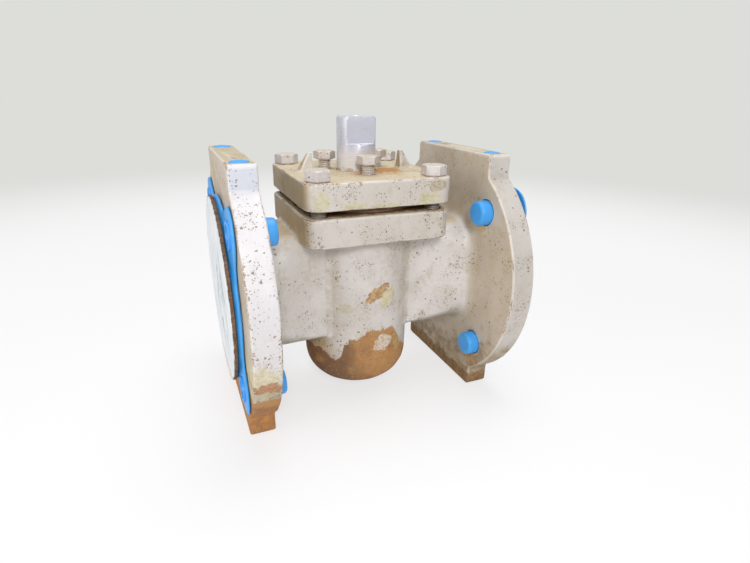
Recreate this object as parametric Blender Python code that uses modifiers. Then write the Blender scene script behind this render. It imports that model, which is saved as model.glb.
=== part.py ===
"""Flanged plug valve with a PTFE sleeve, NPS 3 Class 150, with push-in flange caps.

Metres, +Z up. +X runs along the pipe and the stem stands on +Z. The origin lies on the floor
between the feet, under the stem. Heights below are measured from the pipe axis.
"""
import math

import bmesh
import bpy

# Driving dimensions: end flanges
FACE_TO_FACE = 0.2032
FLANGE_DIAMETER = 0.1905
FLANGE_THICKNESS = 0.0181
RAISED_FACE_DIAMETER = 0.1270
RAISED_FACE_HEIGHT = 0.0020
BORE_DIAMETER = 0.0762
BOLT_CIRCLE = 0.1524
BOLT_HOLE_DIAMETER = 0.0191
BOLT_COUNT = 4

# Driving dimensions: foot and bracket pads on the flanges
PAD_WIDTH = 0.1064
PAD_CORNER = 0.0030
PAD_HOLE_SPACING = 0.0840
PAD_HOLE_DIAMETER = 0.0086
PAD_HOLE_DEPTH = 0.0160
PAD_COUNTERBORE_DIAMETER = 0.0126
PAD_COUNTERBORE_DEPTH = 0.0020

# Driving dimensions: plug, port and stem
PLUG_RADIUS = 0.0295
PLUG_TAPER = math.radians(3.5)
PLUG_BELOW_AXIS = 0.0700
PORT_WIDTH = 0.0340
PORT_HEIGHT = 0.0620
PORT_CORNER = 0.0060
STEM_DIAMETER = 0.0286
STEM_PROJECTION = 0.0385
STEM_FLAT_LENGTH = 0.0190
STEM_ACROSS_FLATS = 0.01905
STEM_CHAMFER = 0.0010

# Driving dimensions: sleeve
SLEEVE_THICKNESS = 0.0032
SLEEVE_BELOW_AXIS = 0.0520
SLEEVE_ABOVE_AXIS = 0.0500

# Driving dimensions: body casting
BARREL_WALL = 0.0085
BARREL_FLOOR = 0.0103
BARREL_BOTTOM_RADIUS = 0.0250
BARREL_NECK_FILLET = 0.0060
CAVITY_BELOW_PLUG = 0.0080
PASSAGE_WALL = 0.0048
PASSAGE_CORNER = 0.0280
PASSAGE_NECK_WALL = 0.0110
PASSAGE_NECK_CORNER = 0.0140
PASSAGE_FILLET = 0.0080
PASSAGE_SINK = 0.0003
BONNET_SIZE = 0.1064
BONNET_CORNER = 0.0090
BONNET_BASE = 0.0360
BONNET_THICKNESS = 0.0210
SEAT_TO_BOLT = 0.00855
SEAT_HEIGHT = 0.0015

# Driving dimensions: cover, diaphragms and thrust collar
COVER_THICKNESS = 0.0182
COVER_RING_HEIGHT = 0.0008
PTFE_THICKNESS = 0.0015
PTFE_LIP_HEIGHT = 0.0035
STEEL_THICKNESS = 0.0006
COLLAR_MARGIN = 0.00075
COLLAR_HEIGHT = 0.0085
COLLAR_TRAVEL = 0.0015
LUG_INNER_FACE = 0.0345
LUG_HEIGHT = 0.0130
LUG_BASE_LENGTH = 0.0090
LUG_TOP_LENGTH = 0.0020
LUG_BASE_WIDTH = 0.0092
LUG_TOP_WIDTH = 0.0032

# Driving dimensions: cover bolts and adjuster bolts
COVER_BOLT_EDGE = 0.0107
COVER_BOLT_DIAMETER = 0.0111
COVER_BOLT_ACROSS_FLATS = 0.0159
COVER_BOLT_HEAD = 0.0072
COVER_BOLT_GRIP = 0.0160
ADJUSTER_COUNT = 3
ADJUSTER_TO_STEM = 0.00144
ADJUSTER_DIAMETER = 0.0095
ADJUSTER_ACROSS_FLATS = 0.0143
ADJUSTER_HEAD = 0.0060
ADJUSTER_STANDOFF = 0.0075

# Driving dimensions: flange caps and their boards
CAP_DISC_DIAMETER = 0.1370
CAP_LOBE_DIAMETER = 0.0350
CAP_THICKNESS = 0.0016
CAP_STUD_PROJECTION = 0.0085
CAP_STUD_CLEARANCE = 0.0004
BOARD_DIAMETER = 0.1345
BOARD_THICKNESS = 0.0026
PAD_PLUG_DOME = 0.0010
PAD_PLUG_CROWN = 0.0008

# Clearances and edge rounding
SEAT_GAP = 0.0003
RUNNING_GAP = 0.0004
EDGE_ROUND = 0.0015
CUT_MARGIN = 0.0020

# Facets
ROUND_STEPS = 48
RIM_STEPS = 25
HIDDEN_STEPS = 32
SMALL_STEPS = 24
PAD_STEPS = 16
DOME_STEPS = 8
CORNER_STEPS = 6
FILLET_STEPS = 4
PAD_CORNER_STEPS = 3
EDGE_STEPS = 2
LOBE_STEPS = 16
LOBE_GAP_STEPS = 10
SHARP_ANGLE = math.radians(35)
WELD = 0.00001

# Levels above the pipe axis, worked upwards from the bonnet flange
AXIS_HEIGHT = FLANGE_DIAMETER / 2
BONNET_TOP = BONNET_BASE + BONNET_THICKNESS
SEAT_TOP = BONNET_TOP + SEAT_HEIGHT
PTFE_BOTTOM = SEAT_TOP + SEAT_GAP
PTFE_TOP = PTFE_BOTTOM + PTFE_THICKNESS
STEEL_BOTTOM = PTFE_TOP + SEAT_GAP
STEEL_TOP = STEEL_BOTTOM + STEEL_THICKNESS
COVER_RING_BOTTOM = STEEL_TOP + SEAT_GAP
COVER_BOTTOM = COVER_RING_BOTTOM + COVER_RING_HEIGHT
COVER_TOP = COVER_BOTTOM + COVER_THICKNESS
COLLAR_BOTTOM = STEEL_TOP + SEAT_GAP
COLLAR_TOP = COLLAR_BOTTOM + COLLAR_HEIGHT
POCKET_ROOF = COLLAR_TOP + COLLAR_TRAVEL
STEM_TOP = COVER_TOP + STEM_PROJECTION
FLAT_BOTTOM = STEM_TOP - STEM_FLAT_LENGTH

# Levels below the pipe axis
PLUG_BOTTOM = -PLUG_BELOW_AXIS
CAVITY_FLOOR = PLUG_BOTTOM - CAVITY_BELOW_PLUG
BARREL_BOTTOM = CAVITY_FLOOR - BARREL_FLOOR
SLEEVE_BOTTOM = -SLEEVE_BELOW_AXIS
LEDGE_TOP = SLEEVE_BOTTOM - SEAT_GAP

# Stations along the pipe, from the stem axis
RAISED_FACE_X = FACE_TO_FACE / 2
FLANGE_OUTER_X = RAISED_FACE_X - RAISED_FACE_HEIGHT
FLANGE_INNER_X = FLANGE_OUTER_X - FLANGE_THICKNESS
FLANGE_MIDDLE_X = (FLANGE_OUTER_X + FLANGE_INNER_X) / 2
CAP_INNER_X = RAISED_FACE_X + SEAT_GAP
BOARD_INNER_X = CAP_INNER_X + CAP_THICKNESS + SEAT_GAP

# Bolt patterns and the radii shared by the pieces that fit each other
COVER_BOLT_PITCH = BONNET_SIZE - 2 * COVER_BOLT_EDGE
ADJUSTER_ACROSS_CORNERS = ADJUSTER_ACROSS_FLATS / math.cos(math.pi / 6)
ADJUSTER_CIRCLE = STEM_DIAMETER + ADJUSTER_ACROSS_CORNERS + 2 * ADJUSTER_TO_STEM
STEM_RADIUS = STEM_DIAMETER / 2
BARREL_RADIUS = PLUG_RADIUS + SLEEVE_THICKNESS + 2 * SEAT_GAP + BARREL_WALL
SEAT_RADIUS = (COVER_BOLT_PITCH * math.sqrt(2) - COVER_BOLT_DIAMETER) / 2 - SEAT_TO_BOLT
LIP_RADIUS = STEM_RADIUS + RUNNING_GAP + PTFE_THICKNESS
COLLAR_RADIUS = (ADJUSTER_CIRCLE + ADJUSTER_DIAMETER) / 2 + COLLAR_MARGIN
POCKET_RADIUS = COLLAR_RADIUS + RUNNING_GAP


def plug_radius(height):
    """Radius of the tapered plug at a height above the pipe axis."""
    return PLUG_RADIUS + height * math.tan(PLUG_TAPER)


def sleeve_radius(height):
    """Outer radius of the sleeve at a height above the pipe axis."""
    return plug_radius(height) + SEAT_GAP + SLEEVE_THICKNESS


def cavity_radius(height):
    """Radius of the body's tapered bore where it holds the sleeve."""
    return sleeve_radius(height) + SEAT_GAP


def arc(centre, radius, start, end, steps):
    """Points along an arc, both ends included."""
    points = []
    for step in range(steps + 1):
        angle = start + (end - start) * step / steps
        points.append((centre[0] + radius * math.cos(angle), centre[1] + radius * math.sin(angle)))
    return points


def rounded_rectangle(half_width, half_height, corner, steps=CORNER_STEPS):
    """Outline of a rectangle with round corners, anticlockwise from the right-hand side."""
    quarter = math.pi / 2
    across = half_width - corner
    up = half_height - corner
    centres = ((across, up), (-across, up), (-across, -up), (across, -up))
    points = []
    for index, centre in enumerate(centres):
        points += arc(centre, corner, index * quarter, (index + 1) * quarter, steps)
    return points


def square_corners(pitch):
    """The four corners of a square of the given pitch, centred on the stem axis."""
    half = pitch / 2
    return ((-half, -half), (half, -half), (half, half), (-half, half))


def bolt_places():
    """Bolt centres on a flange, as (across, up) from the pipe axis, straddling the vertical."""
    places = []
    for index in range(BOLT_COUNT):
        angle = 2 * math.pi * (index + 0.5) / BOLT_COUNT
        places.append((BOLT_CIRCLE / 2 * math.cos(angle), BOLT_CIRCLE / 2 * math.sin(angle)))
    return places


def adjuster_places():
    """Adjuster centres round the stem, the first one at the front."""
    places = []
    for index in range(ADJUSTER_COUNT):
        angle = 2 * math.pi * index / ADJUSTER_COUNT - math.pi / 2
        places.append((ADJUSTER_CIRCLE / 2 * math.cos(angle), ADJUSTER_CIRCLE / 2 * math.sin(angle)))
    return places


def pad_hole_places():
    """Centres of the bracket pads' holes, as (along, across)."""
    places = []
    for side in (-1, 1):
        for across in (-PAD_HOLE_SPACING / 2, PAD_HOLE_SPACING / 2):
            places.append((side * FLANGE_MIDDLE_X, across))
    return places


def remove_all_objects():
    for obj in list(bpy.data.objects):
        bpy.data.objects.remove(obj, do_unlink=True)


def new_collection(name):
    collection = bpy.data.collections.new(name)
    bpy.context.scene.collection.children.link(collection)
    return collection


remove_all_objects()
PARTS = new_collection("flanged_plug_valve")
CUTTERS = new_collection("cutters")

valve_centre = bpy.data.objects.new("valve_centre", None)
valve_centre.location = (0.0, 0.0, AXIS_HEIGHT)
PARTS.objects.link(valve_centre)


def make_material(name, colour, roughness, metallic):
    material = bpy.data.materials.new(name)
    material.use_nodes = True
    shader = material.node_tree.nodes["Principled BSDF"]
    shader.inputs["Base Color"].default_value = (*colour, 1.0)
    shader.inputs["Roughness"].default_value = roughness
    shader.inputs["Metallic"].default_value = metallic
    return material


SILVER_PAINT = make_material("silver_paint", (0.60, 0.58, 0.54), 0.55, 0.30)
STEM_STEEL = make_material("stem_steel", (0.56, 0.55, 0.56), 0.35, 0.85)
BOLT_PAINT = make_material("bolt_paint", (0.50, 0.48, 0.46), 0.50, 0.40)
ADJUSTER_STEEL = make_material("adjuster_steel", (0.44, 0.40, 0.36), 0.50, 0.60)
PTFE_WHITE = make_material("ptfe_white", (0.85, 0.84, 0.80), 0.45, 0.00)
DIAPHRAGM_STEEL = make_material("diaphragm_steel", (0.40, 0.30, 0.22), 0.60, 0.60)
COLLAR_STEEL = make_material("collar_steel", (0.50, 0.49, 0.47), 0.40, 0.85)
BLUE_PLASTIC = make_material("blue_plastic", (0.05, 0.30, 0.75), 0.40, 0.00)
BOARD_BROWN = make_material("board_brown", (0.55, 0.55, 0.52), 0.70, 0.00)


def make_object(name, mesh, collection):
    obj = bpy.data.objects.new(name, mesh)
    obj.parent = valve_centre
    collection.objects.link(obj)
    return obj


def mesh_from(name, shape):
    """Mesh data from a bmesh, shaded smooth, with its sharp edges marked."""
    mesh = bpy.data.meshes.new(name)
    bmesh.ops.recalc_face_normals(shape, faces=shape.faces)
    shape.to_mesh(mesh)
    shape.free()
    mesh.shade_smooth()
    mesh.set_sharp_from_angle(angle=SHARP_ANGLE)
    return mesh


def finish(obj, material, location=(0.0, 0.0, 0.0), rotation=(0.0, 0.0, 0.0)):
    """Give a part its material and its place."""
    obj.data.materials.append(material)
    obj.location = location
    obj.rotation_euler = rotation
    return obj


def as_cutter(obj, location=(0.0, 0.0, 0.0), rotation=(0.0, 0.0, 0.0)):
    """Place a shape that is only cut with or joined on."""
    obj.location = location
    obj.rotation_euler = rotation
    obj.hide_render = True
    obj.display_type = "WIRE"
    return obj


def combine(target, other, operation):
    modifier = target.modifiers.new(other.name, "BOOLEAN")
    modifier.operation = operation
    modifier.object = other
    modifier.solver = "EXACT"


def revolved(name, profile, collection, closed=False, steps=ROUND_STEPS):
    """Turn a (radius, height) profile round Z. Its outer side runs from top to bottom."""
    shape = bmesh.new()
    verts = [shape.verts.new((radius, 0.0, height)) for radius, height in profile]
    ends = verts[1:] + verts[:1] if closed else verts[1:]
    for start, end in zip(verts, ends):
        shape.edges.new((start, end))
    mesh = bpy.data.meshes.new(name)
    shape.to_mesh(mesh)
    shape.free()
    obj = make_object(name, mesh, collection)
    turn = obj.modifiers.new("turn", "SCREW")
    turn.axis = "Z"
    turn.angle = 2 * math.pi
    turn.steps = steps
    turn.render_steps = steps
    turn.use_merge_vertices = True
    turn.merge_threshold = WELD
    turn.use_smooth_shade = True
    return obj


def plate(name, outline, thickness, collection):
    """A flat outline with a thickness along Z, centred on Z zero."""
    curve = bpy.data.curves.new(name, "CURVE")
    curve.dimensions = "2D"
    curve.fill_mode = "BOTH"
    curve.extrude = thickness / 2
    spline = curve.splines.new("POLY")
    spline.points.add(len(outline) - 1)
    for point, (across, up) in zip(spline.points, outline):
        point.co = (across, up, 0.0, 1.0)
    spline.use_cyclic_u = True
    guide = bpy.data.objects.new(name + "_outline", curve)
    bpy.context.scene.collection.objects.link(guide)
    evaluated = guide.evaluated_get(bpy.context.evaluated_depsgraph_get())
    mesh = bpy.data.meshes.new_from_object(evaluated)
    bpy.data.objects.remove(guide, do_unlink=True)
    shape = bmesh.new()
    shape.from_mesh(mesh)
    bmesh.ops.remove_doubles(shape, verts=shape.verts, dist=WELD)
    return make_object(name, mesh_from(name, shape), collection)


def loft(name, sections, collection):
    """A skin through sections of equal point counts, closed by flat ends."""
    shape = bmesh.new()
    rings = [[shape.verts.new(point) for point in section] for section in sections]
    for ring, following in zip(rings, rings[1:]):
        for index, vert in enumerate(ring):
            after = (index + 1) % len(ring)
            shape.faces.new((vert, ring[after], following[after], following[index]))
    shape.faces.new(rings[0])
    shape.faces.new(rings[-1])
    bmesh.ops.remove_doubles(shape, verts=shape.verts, dist=WELD)
    return make_object(name, mesh_from(name, shape), collection)


def cylinder(name, radius, length, collection, steps=SMALL_STEPS):
    """A round bar along Z, from Z zero up."""
    shape = bmesh.new()
    bmesh.ops.create_cone(
        shape, cap_ends=True, segments=steps, radius1=radius, radius2=radius, depth=length
    )
    bmesh.ops.translate(shape, verts=shape.verts, vec=(0.0, 0.0, length / 2))
    return make_object(name, mesh_from(name, shape), collection)


def rounded_block(name, size, thickness, corner, collection):
    """A square block on Z zero with round upright corners and eased edges."""
    shape = bmesh.new()
    bmesh.ops.create_cube(shape, size=1.0)
    bmesh.ops.scale(shape, verts=shape.verts, vec=(size, size, thickness))
    bmesh.ops.translate(shape, verts=shape.verts, vec=(0.0, 0.0, thickness / 2))
    upright = [e for e in shape.edges if abs(e.verts[0].co.z - e.verts[1].co.z) > thickness / 2]
    bmesh.ops.bevel(
        shape, geom=upright, offset=corner, segments=CORNER_STEPS, profile=0.5, affect="EDGES"
    )
    obj = make_object(name, mesh_from(name, shape), collection)
    ease_edges(obj)
    return obj


def ease_edges(obj):
    """Round off a shape's sharp edges."""
    bevel = obj.modifiers.new("eased_edges", "BEVEL")
    bevel.width = EDGE_ROUND
    bevel.segments = EDGE_STEPS
    bevel.limit_method = "ANGLE"
    bevel.angle_limit = SHARP_ANGLE


ALONG_PIPE = (math.pi / 2, 0.0, math.pi / 2)


def flange_outline():
    """A round flange with a flat foot pad below and a flat bracket pad above, as (across, up)."""
    half = PAD_WIDTH / 2
    radius = FLANGE_DIAMETER / 2
    quarter = math.pi / 2
    pad_angle = math.asin(half / radius)
    corners = rounded_rectangle(half, radius, PAD_CORNER, PAD_CORNER_STEPS)
    per_corner = len(corners) // 4
    right_rim = arc((0.0, 0.0), radius, pad_angle - quarter, quarter - pad_angle, RIM_STEPS)
    left_rim = arc((0.0, 0.0), radius, pad_angle + quarter, 3 * quarter - pad_angle, RIM_STEPS)
    top_corners = corners[: 2 * per_corner]
    bottom_corners = corners[2 * per_corner :]
    return right_rim + top_corners + left_rim + bottom_corners


def add_flange(body, side, name):
    """Join one end flange and its raised face to the body, then drill its bolt holes."""
    blank = plate("flange_" + name, flange_outline(), FLANGE_THICKNESS, CUTTERS)
    ease_edges(blank)
    as_cutter(blank, (side * FLANGE_MIDDLE_X, 0.0, 0.0), ALONG_PIPE)
    combine(body, blank, "UNION")

    depth = RAISED_FACE_HEIGHT + FLANGE_THICKNESS / 2
    face = cylinder("raised_face_" + name, RAISED_FACE_DIAMETER / 2, depth, CUTTERS, ROUND_STEPS)
    as_cutter(face, (side * FLANGE_MIDDLE_X, 0.0, 0.0), (0.0, side * math.pi / 2, 0.0))
    combine(body, face, "UNION")

    length = FLANGE_THICKNESS + 2 * CUT_MARGIN
    for index, (across, up) in enumerate(bolt_places()):
        hole = cylinder(f"bolt_hole_{name}_{index + 1}", BOLT_HOLE_DIAMETER / 2, length, CUTTERS)
        as_cutter(hole, (side * FLANGE_MIDDLE_X - length / 2, across, up), (0.0, math.pi / 2, 0.0))
        combine(body, hole, "DIFFERENCE")


def section_at(along, half_width, half_height, corner):
    """A cross-section of the passage at a station along the pipe."""
    outline = rounded_rectangle(half_width, half_height, corner)
    return [(along, across, up) for across, up in outline]


def mix(start, end, share):
    return start + (end - start) * share


def passage_outside():
    """The passages' outer skin: narrow at the barrel, wide and flared at the flanges."""
    neck_x = PLUG_RADIUS
    neck = (
        PORT_WIDTH / 2 + PASSAGE_NECK_WALL,
        PORT_HEIGHT / 2 + PASSAGE_NECK_WALL,
        PASSAGE_NECK_CORNER,
    )
    end_half = BORE_DIAMETER / 2 + PASSAGE_WALL
    end = (end_half, end_half, PASSAGE_CORNER)
    flare_x = FLANGE_INNER_X + PASSAGE_SINK - PASSAGE_FILLET
    stations = [(neck_x, 0.0), ((neck_x + flare_x) / 2, 0.0), (flare_x, 0.0)]
    for step in range(1, FILLET_STEPS + 1):
        angle = math.pi / 2 * step / FILLET_STEPS
        grow = PASSAGE_FILLET * (1 - math.cos(angle))
        stations.append((flare_x + PASSAGE_FILLET * math.sin(angle), grow))
    stations.append((FLANGE_INNER_X + CUT_MARGIN, PASSAGE_FILLET))
    sections = []
    for along, grow in stations:
        share = (min(along, FLANGE_INNER_X) - neck_x) / (FLANGE_INNER_X - neck_x)
        sizes = [mix(at_neck, at_end, share) + grow for at_neck, at_end in zip(neck, end)]
        sections.append(section_at(along, *sizes))
    mirrored = [[(-x, y, z) for x, y, z in section] for section in reversed(sections)]
    return loft("passage_outside", mirrored + sections, CUTTERS)


def flow_way():
    """The way through: round at the flanges, an oblong port at the plug."""
    port = (PORT_WIDTH / 2, PORT_HEIGHT / 2, PORT_CORNER)
    radius = BORE_DIAMETER / 2
    round_end = (radius, radius, radius)
    port_x = cavity_radius(PORT_HEIGHT / 2) + CUT_MARGIN
    sections = [
        section_at(port_x, *port),
        section_at(FLANGE_MIDDLE_X, *round_end),
        section_at(RAISED_FACE_X + CUT_MARGIN, *round_end),
    ]
    mirrored = [[(-x, y, z) for x, y, z in section] for section in reversed(sections)]
    return as_cutter(loft("flow_way", mirrored + sections, CUTTERS))


def barrel_profile():
    """Seat ring, bonnet core, neck fillet, straight barrel and rounded bottom."""
    fillet_start = BONNET_BASE - BARREL_NECK_FILLET
    neck_centre = (BARREL_RADIUS + BARREL_NECK_FILLET, fillet_start)
    neck = arc(neck_centre, BARREL_NECK_FILLET, math.pi / 2, math.pi, FILLET_STEPS)
    bottom_centre = (BARREL_RADIUS - BARREL_BOTTOM_RADIUS, BARREL_BOTTOM + BARREL_BOTTOM_RADIUS)
    bottom = arc(bottom_centre, BARREL_BOTTOM_RADIUS, 0.0, -math.pi / 2, DOME_STEPS)
    top = [(0.0, SEAT_TOP), (SEAT_RADIUS, SEAT_TOP), (SEAT_RADIUS, BONNET_BASE + CUT_MARGIN)]
    neck_top = [(neck[0][0], BONNET_BASE + CUT_MARGIN)]
    return top + neck_top + neck + bottom + [(0.0, BARREL_BOTTOM)]


def cavity_cutter():
    """The tapered bore, its ledge under the sleeve and the pocket below the plug."""
    top = SEAT_TOP + CUT_MARGIN
    ledge_radius = plug_radius(LEDGE_TOP) + 2 * RUNNING_GAP
    profile = [
        (0.0, top),
        (cavity_radius(top), top),
        (cavity_radius(LEDGE_TOP), LEDGE_TOP),
        (ledge_radius, LEDGE_TOP),
        (ledge_radius, CAVITY_FLOOR),
        (0.0, CAVITY_FLOOR),
    ]
    return as_cutter(revolved("body_cavity", profile, CUTTERS))


def build_body(flow):
    body = revolved("body", barrel_profile(), PARTS)
    block = rounded_block("bonnet_flange", BONNET_SIZE, BONNET_THICKNESS, BONNET_CORNER, CUTTERS)
    combine(body, as_cutter(block, (0.0, 0.0, BONNET_BASE)), "UNION")
    combine(body, as_cutter(passage_outside()), "UNION")
    for side, name in ((-1, "left"), (1, "right")):
        add_flange(body, side, name)
    combine(body, cavity_cutter(), "DIFFERENCE")
    combine(body, flow, "DIFFERENCE")
    add_bonnet_holes(body)
    add_pad_holes(body)
    return finish(body, SILVER_PAINT)


def add_bonnet_holes(body):
    """Blind tapped holes for the cover bolts."""
    depth = COVER_BOLT_GRIP + SEAT_GAP + CUT_MARGIN
    radius = COVER_BOLT_DIAMETER / 2 + SEAT_GAP
    for index, (along, across) in enumerate(square_corners(COVER_BOLT_PITCH)):
        hole = cylinder(f"tapped_hole_{index + 1}", radius, depth + CUT_MARGIN, CUTTERS)
        as_cutter(hole, (along, across, BONNET_TOP - depth))
        combine(body, hole, "DIFFERENCE")


def add_pad_holes(body):
    """Counterbored holes in the bracket pads."""
    pad_top = FLANGE_DIAMETER / 2
    rim = PAD_COUNTERBORE_DIAMETER / 2
    hole = PAD_HOLE_DIAMETER / 2
    profile = [
        (0.0, CUT_MARGIN),
        (rim, CUT_MARGIN),
        (rim, -PAD_COUNTERBORE_DEPTH),
        (hole, -PAD_COUNTERBORE_DEPTH),
        (hole, -PAD_HOLE_DEPTH),
        (0.0, -PAD_HOLE_DEPTH),
    ]
    for index, (along, across) in enumerate(pad_hole_places()):
        cutter = revolved(f"pad_hole_{index + 1}", profile, CUTTERS, steps=PAD_STEPS)
        as_cutter(cutter, (along, across, pad_top))
        combine(body, cutter, "DIFFERENCE")


def build_pad_plugs():
    """Domed plastic plugs that fill the bracket pads' holes."""
    head = PAD_COUNTERBORE_DIAMETER / 2 - SEAT_GAP
    stem = PAD_HOLE_DIAMETER / 2 - SEAT_GAP
    head_bottom = SEAT_GAP - PAD_COUNTERBORE_DEPTH
    tip = PAD_COUNTERBORE_DEPTH - PAD_HOLE_DEPTH
    profile = [
        (0.0, PAD_PLUG_DOME),
        (head / 2, PAD_PLUG_CROWN),
        (head, 0.0),
        (head, head_bottom),
        (stem, head_bottom),
        (stem, tip),
        (0.0, tip),
    ]
    for index, (along, across) in enumerate(pad_hole_places()):
        plug = revolved(f"pad_plug_{index + 1}", profile, PARTS, steps=PAD_STEPS)
        finish(plug, BLUE_PLASTIC, (along, across, FLANGE_DIAMETER / 2))


def build_sleeve(flow):
    profile = [
        (plug_radius(SLEEVE_ABOVE_AXIS) + SEAT_GAP, SLEEVE_ABOVE_AXIS),
        (sleeve_radius(SLEEVE_ABOVE_AXIS), SLEEVE_ABOVE_AXIS),
        (sleeve_radius(SLEEVE_BOTTOM), SLEEVE_BOTTOM),
        (plug_radius(SLEEVE_BOTTOM) + SEAT_GAP, SLEEVE_BOTTOM),
    ]
    sleeve = revolved("sleeve", profile, PARTS, closed=True)
    combine(sleeve, flow, "DIFFERENCE")
    return finish(sleeve, PTFE_WHITE)


def build_plug(flow):
    """Tapered plug with its port, and the stem with two flats."""
    shoulder = SEAT_TOP
    profile = [
        (0.0, STEM_TOP),
        (STEM_RADIUS - STEM_CHAMFER, STEM_TOP),
        (STEM_RADIUS, STEM_TOP - STEM_CHAMFER),
        (STEM_RADIUS, shoulder),
        (plug_radius(shoulder), shoulder),
        (plug_radius(PLUG_BOTTOM), PLUG_BOTTOM),
        (0.0, PLUG_BOTTOM),
    ]
    plug = revolved("plug", profile, PARTS)
    combine(plug, flow, "DIFFERENCE")
    for side, name in ((-1, "front"), (1, "back")):
        block = rounded_block("flat_" + name, STEM_DIAMETER, STEM_DIAMETER, EDGE_ROUND, CUTTERS)
        block.modifiers.clear()
        offset = side * (STEM_ACROSS_FLATS + STEM_DIAMETER) / 2
        combine(plug, as_cutter(block, (0.0, offset, FLAT_BOTTOM)), "DIFFERENCE")
    return finish(plug, STEM_STEEL)


def build_diaphragms():
    """A PTFE diaphragm with a lip round the stem, and the steel one that backs it."""
    inner = STEM_RADIUS + RUNNING_GAP
    lip_top = PTFE_TOP + PTFE_LIP_HEIGHT
    ptfe_profile = [
        (inner, lip_top),
        (LIP_RADIUS, lip_top),
        (LIP_RADIUS, PTFE_TOP),
        (SEAT_RADIUS, PTFE_TOP),
        (SEAT_RADIUS, PTFE_BOTTOM),
        (inner, PTFE_BOTTOM),
    ]
    ptfe = revolved("ptfe_diaphragm", ptfe_profile, PARTS, closed=True, steps=HIDDEN_STEPS)
    finish(ptfe, PTFE_WHITE)

    hole = LIP_RADIUS + RUNNING_GAP
    steel_profile = [
        (hole, STEEL_TOP),
        (SEAT_RADIUS, STEEL_TOP),
        (SEAT_RADIUS, STEEL_BOTTOM),
        (hole, STEEL_BOTTOM),
    ]
    steel = revolved("steel_diaphragm", steel_profile, PARTS, closed=True, steps=HIDDEN_STEPS)
    finish(steel, DIAPHRAGM_STEEL)


def build_collar():
    """Thrust collar, relieved below for the PTFE lip."""
    inner = STEM_RADIUS + RUNNING_GAP
    relief = LIP_RADIUS + RUNNING_GAP
    relief_top = PTFE_TOP + PTFE_LIP_HEIGHT + RUNNING_GAP
    profile = [
        (inner, COLLAR_TOP),
        (COLLAR_RADIUS, COLLAR_TOP),
        (COLLAR_RADIUS, COLLAR_BOTTOM),
        (relief, COLLAR_BOTTOM),
        (relief, relief_top),
        (inner, relief_top),
    ]
    collar = revolved("thrust_collar", profile, PARTS, closed=True, steps=HIDDEN_STEPS)
    return finish(collar, COLLAR_STEEL)


def stop_lug(side, name):
    """A stop lug: upright inner face, hollow outer slope, drawn in towards its top."""
    sections = []
    for step in range(FILLET_STEPS + 1):
        share = step / FILLET_STEPS
        length = mix(LUG_TOP_LENGTH, LUG_BASE_LENGTH, (1 - share) ** 2)
        half = mix(LUG_BASE_WIDTH, LUG_TOP_WIDTH, share) / 2
        near = side * LUG_INNER_FACE
        far = side * (LUG_INNER_FACE + length)
        height = mix(-CUT_MARGIN, LUG_HEIGHT, share)
        corners = ((near, -half), (far, -half), (far, half), (near, half))
        sections.append([(along, across, height) for along, across in corners])
    return as_cutter(loft("stop_lug_" + name, sections, CUTTERS), (0.0, 0.0, COVER_TOP))


def build_cover():
    """Square cover with its clamping ring, stop lugs, collar pocket and bolt holes."""
    cover = rounded_block("top_cover", BONNET_SIZE, COVER_THICKNESS, BONNET_CORNER, PARTS)
    ring_height = COVER_RING_HEIGHT + CUT_MARGIN
    ring = cylinder("clamping_ring", SEAT_RADIUS, ring_height, CUTTERS, ROUND_STEPS)
    combine(cover, as_cutter(ring, (0.0, 0.0, COVER_RING_BOTTOM)), "UNION")
    for side, name in ((-1, "left"), (1, "right")):
        combine(cover, stop_lug(side, name), "UNION")

    stem_hole = STEM_RADIUS + RUNNING_GAP
    pocket_profile = [
        (0.0, COVER_TOP + CUT_MARGIN),
        (stem_hole, COVER_TOP + CUT_MARGIN),
        (stem_hole, POCKET_ROOF),
        (POCKET_RADIUS, POCKET_ROOF),
        (POCKET_RADIUS, COVER_RING_BOTTOM - CUT_MARGIN),
        (0.0, COVER_RING_BOTTOM - CUT_MARGIN),
    ]
    combine(cover, as_cutter(revolved("collar_pocket", pocket_profile, CUTTERS)), "DIFFERENCE")

    holes = [(place, COVER_BOLT_DIAMETER) for place in square_corners(COVER_BOLT_PITCH)]
    holes += [(place, ADJUSTER_DIAMETER) for place in adjuster_places()]
    length = COVER_THICKNESS + 2 * CUT_MARGIN
    for index, ((along, across), diameter) in enumerate(holes):
        hole = cylinder(f"cover_hole_{index + 1}", diameter / 2 + SEAT_GAP, length, CUTTERS)
        as_cutter(hole, (along, across, COVER_BOTTOM - CUT_MARGIN))
        combine(cover, hole, "DIFFERENCE")
    return finish(cover, SILVER_PAINT, (0.0, 0.0, COVER_BOTTOM))


def hex_bolt(name, diameter, shank, across_flats, head_height, material, location):
    """A hex head on Z zero with its shank running down."""
    head = cylinder(name, across_flats / math.sqrt(3), head_height, PARTS, 6)
    bar = cylinder(name + "_shank", diameter / 2, shank + head_height / 2, CUTTERS)
    as_cutter(bar, (location[0], location[1], location[2] - shank))
    combine(head, bar, "UNION")
    return finish(head, material, location)


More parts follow.
